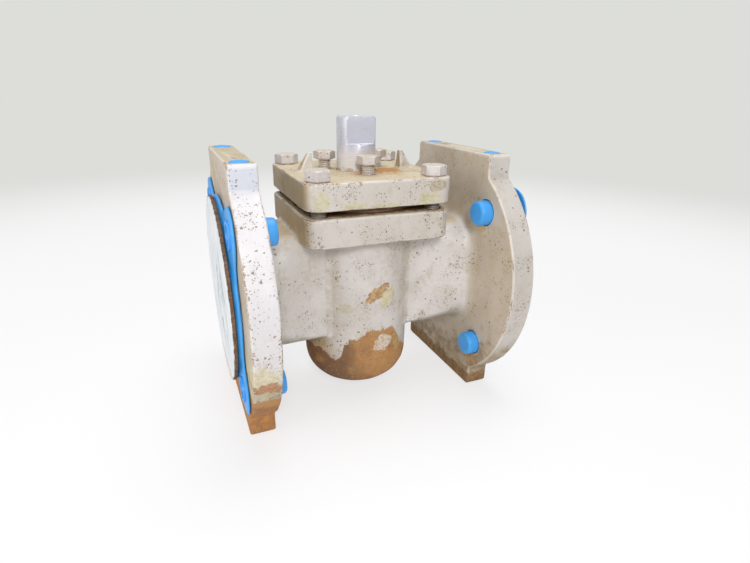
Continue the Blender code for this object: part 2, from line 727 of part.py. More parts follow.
def build_bolts():
    cover_head = COVER_TOP + SEAT_GAP
    cover_shank = cover_head - BONNET_TOP + COVER_BOLT_GRIP
    for index, (along, across) in enumerate(square_corners(COVER_BOLT_PITCH)):
        hex_bolt(
            f"cover_bolt_{index + 1}",
            COVER_BOLT_DIAMETER,
            cover_shank,
            COVER_BOLT_ACROSS_FLATS,
            COVER_BOLT_HEAD,
            BOLT_PAINT,
            (along, across, cover_head),
        )
    adjuster_head = COVER_TOP + ADJUSTER_STANDOFF
    adjuster_shank = adjuster_head - COLLAR_TOP - SEAT_GAP
    for index, (along, across) in enumerate(adjuster_places()):
        hex_bolt(
            f"adjuster_bolt_{index + 1}",
            ADJUSTER_DIAMETER,
            adjuster_shank,
            ADJUSTER_ACROSS_FLATS,
            ADJUSTER_HEAD,
            ADJUSTER_STEEL,
            (along, across, adjuster_head),
        )


def lobed_outline():
    """A disc with a round lobe at each bolt place, as (across, up), anticlockwise."""
    disc = CAP_DISC_DIAMETER / 2
    lobe = CAP_LOBE_DIAMETER / 2
    reach = BOLT_CIRCLE / 2
    disc_half = math.acos((disc**2 + reach**2 - lobe**2) / (2 * disc * reach))
    lobe_half = math.pi - math.acos((lobe**2 + reach**2 - disc**2) / (2 * lobe * reach))
    spacing = 2 * math.pi / BOLT_COUNT
    outline = []
    for index, centre in enumerate(bolt_places()):
        angle = spacing * (index + 0.5)
        outline += arc(centre, lobe, angle - lobe_half, angle + lobe_half, LOBE_STEPS)
        gap_end = angle + spacing - disc_half
        rim = arc((0.0, 0.0), disc, angle + disc_half, gap_end, LOBE_GAP_STEPS)
        outline += rim[1:-1]
    return outline


def build_flange_cap(side, name):
    """A plastic cap on one raised face, with a stud through each bolt hole, and its board."""
    cap = plate("flange_cap_" + name, lobed_outline(), CAP_THICKNESS, PARTS)
    middle = side * (CAP_INNER_X + CAP_THICKNESS / 2)
    stud_tip = FLANGE_INNER_X - CAP_STUD_PROJECTION
    length = CAP_INNER_X + CAP_THICKNESS / 2 - stud_tip
    radius = BOLT_HOLE_DIAMETER / 2 - CAP_STUD_CLEARANCE
    for index, (across, up) in enumerate(bolt_places()):
        stud = cylinder(f"cap_stud_{name}_{index + 1}", radius, length, CUTTERS)
        as_cutter(stud, (side * stud_tip, across, up), (0.0, side * math.pi / 2, 0.0))
        combine(cap, stud, "UNION")
    finish(cap, BLUE_PLASTIC, (middle, 0.0, 0.0), ALONG_PIPE)

    board = cylinder("cap_board_" + name, BOARD_DIAMETER / 2, BOARD_THICKNESS, PARTS, ROUND_STEPS)
    finish(board, BOARD_BROWN, (side * BOARD_INNER_X, 0.0, 0.0), (0.0, side * math.pi / 2, 0.0))


flow_cutter = flow_way()
build_body(flow_cutter)
build_sleeve(flow_cutter)
build_plug(flow_cutter)
build_diaphragms()
build_collar()
build_cover()
build_bolts()
build_pad_plugs()
for cap_side, cap_name in ((-1, "left"), (1, "right")):
    build_flange_cap(cap_side, cap_name)
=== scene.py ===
"""Looks of the flanged plug valve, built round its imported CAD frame. Shapes are in millimetres."""
import math

import bmesh
import bpy
import numpy as np
from mathutils import Matrix, Vector


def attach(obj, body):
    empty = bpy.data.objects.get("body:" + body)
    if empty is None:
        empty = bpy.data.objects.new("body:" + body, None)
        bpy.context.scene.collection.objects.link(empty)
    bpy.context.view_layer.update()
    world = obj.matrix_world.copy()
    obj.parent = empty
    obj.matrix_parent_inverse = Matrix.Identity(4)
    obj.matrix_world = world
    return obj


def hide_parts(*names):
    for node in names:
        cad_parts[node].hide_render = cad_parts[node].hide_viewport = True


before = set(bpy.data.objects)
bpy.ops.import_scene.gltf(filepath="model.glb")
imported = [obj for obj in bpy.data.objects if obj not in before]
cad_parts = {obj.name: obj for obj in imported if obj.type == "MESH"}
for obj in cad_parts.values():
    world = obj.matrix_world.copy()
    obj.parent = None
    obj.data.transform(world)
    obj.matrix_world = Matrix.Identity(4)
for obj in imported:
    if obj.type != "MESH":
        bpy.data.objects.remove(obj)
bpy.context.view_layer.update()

MM = 0.001

# Height of the pipe axis over the floor, in millimetres
AXIS = 95.25

# Sizes in millimetres. Heights count from the pipe axis, other places from the stem's axis
FLANGE_R = 95.25
FLANGE_BACK = 81.5
FLANGE_FACE = 99.6
FLANGE_MID = (FLANGE_BACK + FLANGE_FACE) / 2
FLANGE_EDGE_R = 1.1
FLANGE_FILLET = 7.0
RAISED_R = 63.5
RAISED_FACE = 101.6
PAD_HALF = 53.2
PAD_CORNER_R = 3.0
PAD_FILLET = 1.5
PAD_HOLE_AT = 42.0
PAD_HOLE_R = 4.3
PAD_HOLE_FLOOR = 79.25
PAD_RECESS_R = 6.3
PAD_RECESS_FLOOR = 93.25
BOLT_AT = 53.88
HOLE_R = 9.55
HOLE_START = 76.0
HOLE_EDGE_R = 0.6
SMALL_EDGE_R = 0.4
NECK_END = 40.0
NECK_HALF = 28.0
NECK_CORNER_R = 4.0
FLARE_LENGTH = 41.5
FLARE_EASE = 0.015
FLARE_GAIN = 16.0
FLARE_RISE = 0.5
FLARE_CORNER_GAIN = 22.0
FLARE_COSINE = 0.92
PASSAGE_HALF = 41.5
PASSAGE_END = 92.0
VALLEY_FILLET = 2.5
BARREL_R = 41.8
BARREL_BOTTOM = -88.3
BARREL_TOP = 46.0
DOME_R = 25.0
SQUARE_HALF = 53.2
SQUARE_CORNER_R = 9.0
BONNET_LOW = 38.0
BONNET_TOP = 58.2
BONNET_EDGE_R = 1.4
BONNET_FILLET = 4.0
SEAT_R = 46.0
BODY_SEAT = (49.5, 58.5)
COVER_SEAT = (61.5, 71.5)
CAVITY_R = 33.3
CAVITY_TAPER = 0.0612
CAVITY_FLOOR = -52.3
POCKET_R = 27.1
POCKET_FLOOR = -78.0
FLOW_START = 37.2
PORT_HALF_WIDTH = 17.0
PORT_HALF_HEIGHT = 31.0
PORT_CORNER_R = 6.0
BORE_R = 38.1
COVER_LOW = 63.0
COVER_TOP = 81.3
COVER_EDGE_R = 1.3
COVER_BOLT_AT = 42.5
COVER_BOLT_HOLE_R = 5.85
TAPPED = (38.7, 61.3)
COLLAR_POCKET_R = 29.9
COLLAR_POCKET_TOP = 71.85
ADJUSTER_R = 23.9961
ADJUSTER_HOLE_R = 5.05
LUG_INNER = 34.5
LUG_HEIGHT = 13.0
LUG_TOP_LENGTH = 2.6
LUG_SPREAD = 7.4
LUG_COSINE = 0.87
LUG_HALF = 4.9
LUG_THINNING = 2.7
LUG_FILLET = 1.6
LUG_ROOT = 70.0
STEM_R = 14.3
STEM_GAP = 0.5
STEM_TOP = 119.0
FLAT_LOW = 100.0
FLAT_HALF = 9.525
PLUG_LOW = -70.0
PLUG_TOP = 58.5


def add_object(name, data):
    obj = bpy.data.objects.new(name, data)
    bpy.context.scene.collection.objects.link(obj)
    return obj


def to_frame(verts, x=0.0, y=0.0, z=AXIS):
    """Move points from millimetres about the part's axes to their place in the frame, in metres."""
    for vert in verts:
        vert.co = Vector((vert.co.x + x, vert.co.y + y, vert.co.z + z)) * MM


# Distance fields of the castings

def rounded(a, b, radius):
    """What two faces enclose, with their edge rounded off."""
    corner = np.hypot(np.maximum(a + radius, 0), np.maximum(b + radius, 0))
    return corner + np.minimum(np.maximum(a, b) + radius, 0) - radius


def filleted(a, b, radius):
    """Two shapes joined, with a fillet in the corner between them."""
    corner = np.hypot(np.maximum(radius - a, 0), np.maximum(radius - b, 0))
    return np.maximum(radius, np.minimum(a, b)) - corner


def between(value, low, high):
    """Distance out of the slab between two levels."""
    return np.abs(value - (low + high) / 2) - (high - low) / 2


def flange_outline(y, z):
    pads = rounded(np.abs(y) - PAD_HALF, np.abs(z) - FLANGE_R, PAD_CORNER_R)
    disc = filleted(np.hypot(y, z) - FLANGE_R, pads, PAD_FILLET)
    return np.maximum(disc, np.abs(z) - FLANGE_R)


def square_outline(ax, ay):
    """Outline of the bonnet and the cover."""
    return rounded(ax - SQUARE_HALF, ay - SQUARE_HALF, SQUARE_CORNER_R)


def cover_bolt_holes(ax, ay):
    return np.hypot(ax - COVER_BOLT_AT, ay - COVER_BOLT_AT) - COVER_BOLT_HOLE_R


def body_distance(x, y, z):
    ax, ay, az = np.abs(x), np.abs(y), np.abs(z)
    around, ring = np.hypot(x, y), np.hypot(y, z)
    flange = rounded(flange_outline(y, z), between(ax, FLANGE_BACK, FLANGE_FACE), FLANGE_EDGE_R)
    flare = (ax - NECK_END) / FLARE_LENGTH
    flare = np.minimum((flare + np.sqrt(flare ** 2 + FLARE_EASE)) / 2, 1)
    sides = ay - (NECK_HALF + FLARE_GAIN * flare)
    ends = az - (PASSAGE_HALF + FLARE_RISE * flare)
    passage = rounded(sides, ends, NECK_CORNER_R + FLARE_CORNER_GAIN * flare)
    passage = np.maximum(passage * FLARE_COSINE, ax - PASSAGE_END)
    barrel = np.maximum(rounded(around - BARREL_R, BARREL_BOTTOM - z, DOME_R), z - BARREL_TOP)
    cast = filleted(filleted(passage, barrel, VALLEY_FILLET), flange, FLANGE_FILLET)
    bonnet = rounded(square_outline(ax, ay), between(z, BONNET_LOW, BONNET_TOP), BONNET_EDGE_R)
    cast = filleted(cast, bonnet, BONNET_FILLET)
    cast = np.minimum(cast, np.maximum(around - SEAT_R, between(z, *BODY_SEAT)))
    raised = rounded(ring - RAISED_R, between(ax, FLANGE_MID, RAISED_FACE), SMALL_EDGE_R)
    return body_cuts(np.minimum(cast, raised), ax, ay, az, z, around)


def body_cuts(cast, ax, ay, az, z, around):
    """Plug cavity, flow way, bolt holes, pad holes and tapped holes."""
    taper = np.maximum(around - CAVITY_R - CAVITY_TAPER * z, CAVITY_FLOOR - z)
    pocket = np.maximum(around - POCKET_R, POCKET_FLOOR - z)
    share = np.clip((ax - FLOW_START) / (FLANGE_MID - FLOW_START), 0, 1)
    wide, high, corner = (size + (BORE_R - size) * share
                          for size in (PORT_HALF_WIDTH, PORT_HALF_HEIGHT, PORT_CORNER_R))
    flow = rounded(ay - wide, az - high, corner)
    cast = np.maximum(cast, -np.minimum(np.minimum(taper, pocket), flow))
    holes = np.maximum(np.hypot(ay - BOLT_AT, az - BOLT_AT) - HOLE_R, HOLE_START - ax)
    cast = rounded(cast, -holes, HOLE_EDGE_R)
    pad = np.hypot(ax - FLANGE_MID, ay - PAD_HOLE_AT)
    recess = np.maximum(pad - PAD_RECESS_R, PAD_RECESS_FLOOR - z)
    pads = np.minimum(recess, np.maximum(pad - PAD_HOLE_R, PAD_HOLE_FLOOR - z))
    tapped = np.maximum(cover_bolt_holes(ax, ay), between(z, *TAPPED))
    return rounded(cast, -np.minimum(pads, tapped), SMALL_EDGE_R)


def cover_distance(x, y, z):
    ax, ay = np.abs(x), np.abs(y)
    around = np.hypot(x, y)
    plate = rounded(square_outline(ax, ay), between(z, COVER_LOW, COVER_TOP), COVER_EDGE_R)
    share = np.clip((z - COVER_TOP) / LUG_HEIGHT, 0, 1)
    slope = ax - (LUG_INNER + LUG_TOP_LENGTH + LUG_SPREAD * (1 - share))
    ends = np.maximum(LUG_INNER - ax, slope * LUG_COSINE)
    lugs = rounded(ends, ay - (LUG_HALF - LUG_THINNING * share), 0.8)
    lugs = np.maximum(rounded(lugs, z - COVER_TOP - LUG_HEIGHT, 0.9), LUG_ROOT - z)
    cast = filleted(plate, lugs, LUG_FILLET)
    cast = np.minimum(cast, np.maximum(around - SEAT_R, between(z, *COVER_SEAT)))
    stem = around - (STEM_R + STEM_GAP)
    pocket = np.maximum(around - COLLAR_POCKET_R, z - COLLAR_POCKET_TOP)
    cast = rounded(cast, -np.minimum(stem, pocket), 0.5)
    front = np.hypot(x, y + ADJUSTER_R)
    back = np.hypot(ax - ADJUSTER_R * math.sqrt(0.75), y - ADJUSTER_R / 2)
    adjusters = np.minimum(front, back) - ADJUSTER_HOLE_R
    return rounded(cast, -np.minimum(cover_bolt_holes(ax, ay), adjusters), SMALL_EDGE_R)


# Waves of the cast skin: turn per millimetre along X, Y and Z, phase, height
WAVES = (
    (0.21, 0.13, 0.09, 0.4, 0.05),
    (-0.11, 0.24, 0.17, 1.7, 0.05),
    (0.16, -0.2, 0.27, 2.9, 0.045),
    (0.43, 0.31, -0.22, 0.9, 0.03),
    (-0.37, 0.15, 0.46, 4.1, 0.03),
    (0.12, 0.52, 0.41, 5.2, 0.025),
)
SMOOTH_X = 95.0
SMOOTH_Z = 90.0
SMOOTH_FADE = 3.0


def uneven(distance):
    """The same shape with the faint waves of a sand casting, but none near its machined faces."""
    def wavy(x, y, z):
        lift = 0
        for along, across, up, phase, height in WAVES:
            lift = lift + height * np.sin(along * x + across * y + up * z + phase)
        machined = np.maximum(np.abs(z) - SMOOTH_Z, np.abs(x) - SMOOTH_X)
        return distance(x, y, z) + lift * np.clip(-machined / SMOOTH_FADE, 0, 1)
    return wavy


# Meshing of distance fields

CORNERS = np.array([(i, j, k) for i in (0, 1) for j in (0, 1) for k in (0, 1)])
PAIRS = [(a, b) for a in range(8) for b in range(a) if np.abs(CORNERS[a] - CORNERS[b]).sum() == 1]


def surface_net(distance, low, high, step):
    """One point for each cell that the surface crosses, and a quad round each crossed edge."""
    axes = [np.arange(start, end + step, step) for start, end in zip(low, high)]
    field = distance(*np.meshgrid(*axes, indexing="ij", sparse=True))
    inside = field < 0
    size = np.array(field.shape) - 1
    total = np.zeros(size, np.int8)
    for i, j, k in CORNERS:
        total += inside[i:i + size[0], j:j + size[1], k:k + size[2]]
    cells = np.argwhere((total > 0) & (total < 8))
    values = np.stack([field[tuple((cells + corner).T)] for corner in CORNERS], 1)
    points = np.zeros((len(cells), 3))
    count = np.zeros((len(cells), 1))
    for a, b in PAIRS:
        near, far = values[:, a:a + 1], values[:, b:b + 1]
        crossed = (near < 0) != (far < 0)
        share = np.where(crossed, near / np.where(crossed, near - far, 1), 0)
        points += (CORNERS[a] + share * (CORNERS[b] - CORNERS[a])) * crossed
        count += crossed
    points = np.array(low) + (cells + points / count) * step
    index = np.full(size, -1, np.int32)
    index[tuple(cells.T)] = np.arange(len(cells))
    return points, np.concatenate([net_quads(inside, index, axis) for axis in range(3)])


def net_quads(inside, index, axis):
    u, v = (axis + 1) % 3, (axis + 2) % 3
    near, far = [slice(None)] * 3, [slice(None)] * 3
    near[axis], far[axis] = slice(0, -1), slice(1, None)
    solid = inside[tuple(near)]
    nodes = np.argwhere(solid != inside[tuple(far)])
    quads = []
    for du, dv in ((-1, -1), (0, -1), (0, 0), (-1, 0)):
        cell = nodes.copy()
        cell[:, u] += du
        cell[:, v] += dv
        quads.append(index[tuple(cell.T)])
    quads = np.stack(quads, 1)
    back = ~solid[tuple(nodes.T)]
    quads[back] = quads[back][:, ::-1]
    return quads


def beside(distance, points, reach):
    """Distances a little ahead of the points and behind them, along each axis."""
    for shift in np.eye(3) * reach:
        yield distance(*(points + shift).T), distance(*(points - shift).T)


def slope_at(distance, points, reach=0.05):
    pairs = beside(distance, points, reach)
    return np.stack([(ahead - behind) / (2 * reach) for ahead, behind in pairs], 1)


def settle(distance, points, rounds):
    """Move points onto the surface."""
    for _ in range(rounds):
        slope = slope_at(distance, points)
        move = distance(*points.T) / np.maximum((slope ** 2).sum(1), 0.3)
        points = points - np.clip(move, -0.6, 0.6)[:, None] * slope
    return points


def bend_at(distance, points, reach=1.4):
    """How strongly the surface turns: above zero on outer edges, below zero in fillets."""
    total = -6 * distance(*points.T)
    for ahead, behind in beside(distance, points, reach):
        total += ahead + behind
    return total / reach ** 2


def mesh_points(mesh):
    points = np.empty(len(mesh.vertices) * 3)
    mesh.vertices.foreach_get("co", points)
    return points.reshape(-1, 3)


def weld(mesh, reach):
    """Join points that lie closer together than the reach."""
    shape = bmesh.new()
    shape.from_mesh(mesh)
    bmesh.ops.remove_doubles(shape, verts=shape.verts, dist=reach)
    shape.to_mesh(mesh)
    shape.free()


def casting(name, distance, low, high, step, keep):
    """A cast piece: the field's surface, thinned out where it is flat."""
    wavy = uneven(distance)
    points, quads = surface_net(distance, low, high, step)
    points = settle(wavy, points, 3)
    mesh = bpy.data.meshes.new(name)
    mesh.vertices.add(len(points))
    mesh.vertices.foreach_set("co", points.ravel())
    mesh.loops.add(quads.size)
    mesh.loops.foreach_set("vertex_index", quads.ravel())
    mesh.polygons.add(len(quads))
    mesh.polygons.foreach_set("loop_start", np.arange(0, quads.size, 4, dtype=np.int32))
    mesh.update(calc_edges=True)
    fine = add_object(name + "_fine", mesh)
    fine.modifiers.new("thin", "DECIMATE").ratio = keep
    thin = bpy.data.meshes.new_from_object(fine.evaluated_get(bpy.context.evaluated_depsgraph_get()))
    bpy.data.objects.remove(fine)
    thin.vertices.foreach_set("co", settle(wavy, mesh_points(thin), 2).ravel())
    weld(thin, 0.01)
    points = mesh_points(thin)
    normals = slope_at(wavy, points, 0.25)
    normals /= np.maximum(np.linalg.norm(normals, axis=1, keepdims=True), 1e-6)
    bend = thin.attributes.new("bend", "FLOAT", "POINT")
    bend.data.foreach_set("value", bend_at(distance, points).astype(np.float32))
    points[:, 2] += AXIS
    thin.vertices.foreach_set("co", (points * MM).ravel())
    thin.shade_smooth()
    thin.normals_split_custom_set_from_vertices(normals)
    thin.update()
    thin.name = name
    return thin


# Turned, hexagonal and moulded shapes

def skin(rings, shape=None):
    """Closed shape through rings of points, the first ring lowest, each anticlockwise from above."""
    shape = shape or bmesh.new()
    rows = [[shape.verts.new(point) for point in ring] for ring in rings]
    for row, following in zip(rows, rows[1:]):
        for index, vert in enumerate(row):
            after = (index + 1) % len(row)
            shape.faces.new((vert, row[after], following[after], following[index]))
    shape.faces.new(rows[0][::-1])
    shape.faces.new(rows[-1])
    return shape


def ring_of(radius, height, angles):
    """A ring of points. The radius and the height are one number each, or one for each angle."""
    radius = np.broadcast_to(radius, angles.shape)
    height = np.broadcast_to(height, angles.shape)
    return np.stack((radius * np.cos(angles), radius * np.sin(angles), height), 1)


def rings_of(profile, angles):
    return [ring_of(radius, height, angles) for radius, height in profile]


def turns(count):
    return np.arange(count) * 2 * math.pi / count


def mesh_of(name, shape, sharp=35.0):
    mesh = bpy.data.meshes.new(name)
    bmesh.ops.recalc_face_normals(shape, faces=shape.faces)
    shape.to_mesh(mesh)
    shape.free()
    mesh.shade_smooth()
    mesh.set_sharp_from_angle(angle=math.radians(sharp))
    return mesh


def hex_radius(angles, flats, turn):
    """Outline of a hexagon with slightly worn corners."""
    sharpness = 220
    total = 0
    for side in range(6):
        total = total + np.maximum(np.cos(angles - turn - side * math.pi / 3), 0) ** sharpness
    return flats / 2 / total ** (1 / sharpness)


def hex_head(flats, height, turn):
    """Rings of a hex head from its washer face to its chamfered top."""
    angles = turns(96) + turn
    outline = hex_radius(angles, flats, turn)
    flat_top = flats * 0.487
    shoulder = height - (outline - flat_top) * math.tan(math.radians(24))
    washer = flats * 0.47
    profile = ((washer, 0.0), (washer, 0.35), (outline - 0.25, 0.38), (outline, 0.75),
               (outline, shoulder - 0.15), (outline - 0.12, shoulder), (flat_top + 0.15, height - 0.07),
               (flat_top - 0.15, height), (flat_top * 0.5, height + 0.03))
    return rings_of(profile, angles)


def adjuster_place(number):
    """Where an adjuster stands: the first one in front of the stem, the others round it."""
    angle = 2 * math.pi * number / 3 - math.pi / 2
    return ADJUSTER_R * math.cos(angle), ADJUSTER_R * math.sin(angle)


def thread(radius, pitch, low, high, angles):
    """Rings of a screw thread along Z."""
    depth = 0.54 * pitch
    rings = [ring_of(radius - 0.9, low, angles)]
    for height in np.arange(low + 0.6, high, pitch / 6):
        phase = (height / pitch - angles / (2 * math.pi)) % 1
        crest = 1 - np.abs(2 * phase - 1)
        cut = np.clip(1.35 * crest - 0.12, 0, 1) * depth
        rings.append(ring_of(radius - depth + cut, height, angles))
    return rings


def hex_bolt(name, place, turn, head_low, flats, height, shank, tip, thread_top, pitch):
    """A bolt with a threaded end, its head on head_low."""
    head = skin(hex_head(flats, height, turn))
    for vert in head.verts:
        vert.co.z += head_low
    angles = turns(40)
    rings = thread(shank, pitch, tip, thread_top, angles)
    rings.append(ring_of(shank, thread_top + 0.5, angles))
    rings.append(ring_of(shank, head_low + 0.2, angles))
    bolt = skin(rings, head)
    to_frame(bolt.verts, *place)
    return mesh_of(name, bolt, 28.0)


def boolean(name, base, cutters, operation, sharp):
    """One mesh joined with or cut by others."""
    target = add_object(name + "_base", base)
    others = []
    for cutter in cutters:
        other = add_object(name + "_other", cutter)
        modifier = target.modifiers.new("cut", "BOOLEAN")
        modifier.operation = operation
        modifier.solver = "EXACT"
        modifier.object = other
        others.append(other)
    evaluated = target.evaluated_get(bpy.context.evaluated_depsgraph_get())
    result = bpy.data.meshes.new_from_object(evaluated)
    for obj in others + [target]:
        bpy.data.objects.remove(obj)
    result.name = name
    result.shade_smooth()
    result.set_sharp_from_angle(angle=math.radians(sharp))
    return result


def plug_mesh():
    """Tapered plug with its port, and the turned stem with two milled flats."""
    corner = math.asin(FLAT_HALF / STEM_R)
    places = [turns(120)]
    for middle in (corner, math.pi - corner, math.pi + corner, 2 * math.pi - corner):
        places.append(middle + np.radians((-0.9, 0.0, 0.9)))
    angles = np.sort(np.concatenate(places))
    across = FLAT_HALF / np.maximum(np.abs(np.sin(angles)), 1e-3)
    flat = np.minimum(STEM_R, across)
    flat_top = np.minimum(STEM_R - 1.0, across - 0.35)
    profile = [(24.4, PLUG_LOW), (25.2, PLUG_LOW + 0.6), (32.5, PLUG_TOP - 0.6), (31.9, PLUG_TOP),
               (STEM_R + 0.8, PLUG_TOP), (STEM_R, PLUG_TOP + 0.8)]
    profile += [(STEM_R, height) for height in np.linspace(64.0, FLAT_LOW - 0.5, 10)]
    profile += [(np.minimum(STEM_R, across + STEM_R - FLAT_HALF - 0.45), FLAT_LOW),
                (np.minimum(STEM_R, across + 0.5), FLAT_LOW + 0.02), (flat, FLAT_LOW + 0.5)]
    profile += [(flat, height) for height in np.linspace(FLAT_LOW + 4.0, STEM_TOP - 1.0, 5)]
    profile += [(flat_top, STEM_TOP), (2.6, STEM_TOP), (0.4, STEM_TOP - 1.6)]
    turned = mesh_of("plug_turned", skin(rings_of(profile, angles)))
    around = turns(96)
    wide, high = PORT_HALF_WIDTH - PORT_CORNER_R, PORT_HALF_HEIGHT - PORT_CORNER_R
    sideways = np.sign(np.cos(around)) * wide + PORT_CORNER_R * np.cos(around)
    upright = np.sign(np.sin(around)) * high + PORT_CORNER_R * np.sin(around)
    port = [np.stack((np.full(around.shape, along), sideways, upright), 1) for along in (-60.0, 60.0)]
    mesh = boolean("plug", turned, [mesh_of("port", skin(port))], "DIFFERENCE", 30.0)
    to_frame(mesh.vertices)
    return mesh


def along_pipe(shape, side):
    """Turn a shape that was built up along Z so that it points outwards along the pipe."""
    for vert in shape.verts:
        outward, across, up = vert.co.z, vert.co.x, vert.co.y
        vert.co = Vector((side * outward, across, up + AXIS)) * MM


CAP_FLAT_R = 64.5
CAP_DISC_R = 67.6
CAP_LOBE_R = 17.5
CAP_WEB_R = 16.0
CAP_LOW = 101.9
CAP_TOP = 103.5
# Radius, and distance along the pipe from the stem's axis
STUD_PROFILE = ((1.0, 73.25), (6.2, 73.15), (7.6, 73.3), (8.4, 73.9), (8.8, 74.9), (9.0, 77.0),
                (9.15, 84.0), (9.15, 103.0))
HOLLOW_PROFILE = ((4.6, 84.0), (6.0, 85.2), (6.9, 103.0), (7.3, 103.8), (7.9, 104.6), (8.2, 112.0))


def cap_outline(angles):
    """Radius at each angle of a disc with a lobe at each bolt place, the corners between them webbed."""
    low, high = np.full(angles.shape, 60.0), np.full(angles.shape, 100.0)
    for _ in range(24):
        radius = (low + high) / 2
        across, up = np.abs(radius * np.cos(angles)), np.abs(radius * np.sin(angles))
        lobe = np.hypot(across - BOLT_AT, up - BOLT_AT) - CAP_LOBE_R
        inside = filleted(radius - CAP_DISC_R, lobe, CAP_WEB_R) < 0
        low, high = np.where(inside, radius, low), np.where(inside, high, radius)
    return low


def cap_curl(radius, side):
    """The left cap's rim is pulled in to its flange, the right cap's lobes stand off a little."""
    reach, lift = (14.0, 1.9) if side > 0 else (3.0, -1.8)
    share = np.clip((radius - CAP_FLAT_R) / reach, 0, 1)
    return lift * share * share * (3 - 2 * share)


def cap_mesh(name, side):
    """A moulded cap: a thin lobed plate and four hollow studs that push through the bolt holes."""
    angles = turns(288)
    rim = cap_outline(angles)
    radii = [np.full(angles.shape, radius) for radius in (2.7, 24.0, 48.0, 62.0, CAP_FLAT_R)]
    radii += [CAP_FLAT_R + (rim - CAP_FLAT_R) * share for share in (0.2, 0.5)] + [rim - 1.4]
    profile = [(radius, CAP_LOW) for radius in radii]
    profile += [(rim - 0.45, CAP_LOW + 0.15), (rim, CAP_LOW + 0.8), (rim - 0.45, CAP_TOP - 0.2)]
    profile += [(radius, CAP_TOP) for radius in reversed(radii)]
    profile = [(radius, height + cap_curl(radius, side)) for radius, height in profile]
    plate = mesh_of(name + "_plate", skin(rings_of(profile, angles)))
    studs, hollows = [], []
    around = turns(64)
    for across, up in ((1, 1), (-1, 1), (-1, -1), (1, -1)):
        middle = np.array((across * BOLT_AT, up * BOLT_AT, 0.0))
        stud = skin(rings_of(STUD_PROFILE, around) + middle)
        studs.append(mesh_of(name + "_stud", stud))
        hollow = skin(rings_of(HOLLOW_PROFILE, around) + middle)
        hollows.append(mesh_of(name + "_hollow", hollow))
    joined = boolean(name, plate, studs, "UNION", 40.0)
    cut = boolean(name, joined, hollows, "DIFFERENCE", 32.0)
    shape = bmesh.new()
    shape.from_mesh(cut)
    bpy.data.meshes.remove(cut)
    along_pipe(shape, side)
    return mesh_of(name, shape, 32.0)


BOARD_R = 67.0
BOARD_PROFILE = ((3.0, 103.85), (40.0, 103.85), (66.2, 103.85), (66.9, 104.05), (67.1, 104.6),
                 (67.05, 105.7), (66.8, 106.15), (66.1, 106.35), (40.0, 106.3), (3.0, 106.3))


def board_mesh(name, side):
    """A hardboard disc with a slightly ragged, eased edge."""
    angles = turns(240)
    ragged = 0.16 * np.sin(17 * angles + 1) + 0.12 * np.sin(41 * angles) + 0.1 * np.sin(73 * angles + 2)
    warp = 0.1 * np.sin(2 * angles + 0.6)
    rings = []
    for radius, height in BOARD_PROFILE:
        share = (radius / BOARD_R) ** 2
        rings.append(ring_of(radius + ragged * share * share, height + warp * share * 0.3, angles))
    shape = skin(rings)
    along_pipe(shape, side)
    return mesh_of(name, shape, 40.0)


def pad_plug_mesh(name, along, across):
    """A domed push-in plug with a rolled rim and a moulding dimple."""
    angles = turns(64)
    profile = ((1.0, -13.9), (3.4, -13.9), (4.0, -13.3), (4.0, -1.7), (6.0, -1.7), (6.0, -0.1),
               (5.85, 0.2), (5.5, 0.42), (5.0, 0.5), (4.2, 0.62), (3.0, 0.82), (1.9, 0.95), (1.3, 0.96),
               (0.9, 0.8), (0.3, 0.75))
    shape = skin(rings_of(profile, angles))
    to_frame(shape.verts, along, across, AXIS + FLANGE_R)
    return mesh_of(name, shape, 50.0)


# Finishes

def srgb(red, green, blue):
    """A colour as it reads in a picture, from 0 to 255, in linear light."""
    levels = []
    for value in (red, green, blue):
        share = value / 255
        levels.append(share / 12.92 if share <= 0.04045 else ((share + 0.055) / 1.055) ** 2.4)
    return (*levels, 1.0)


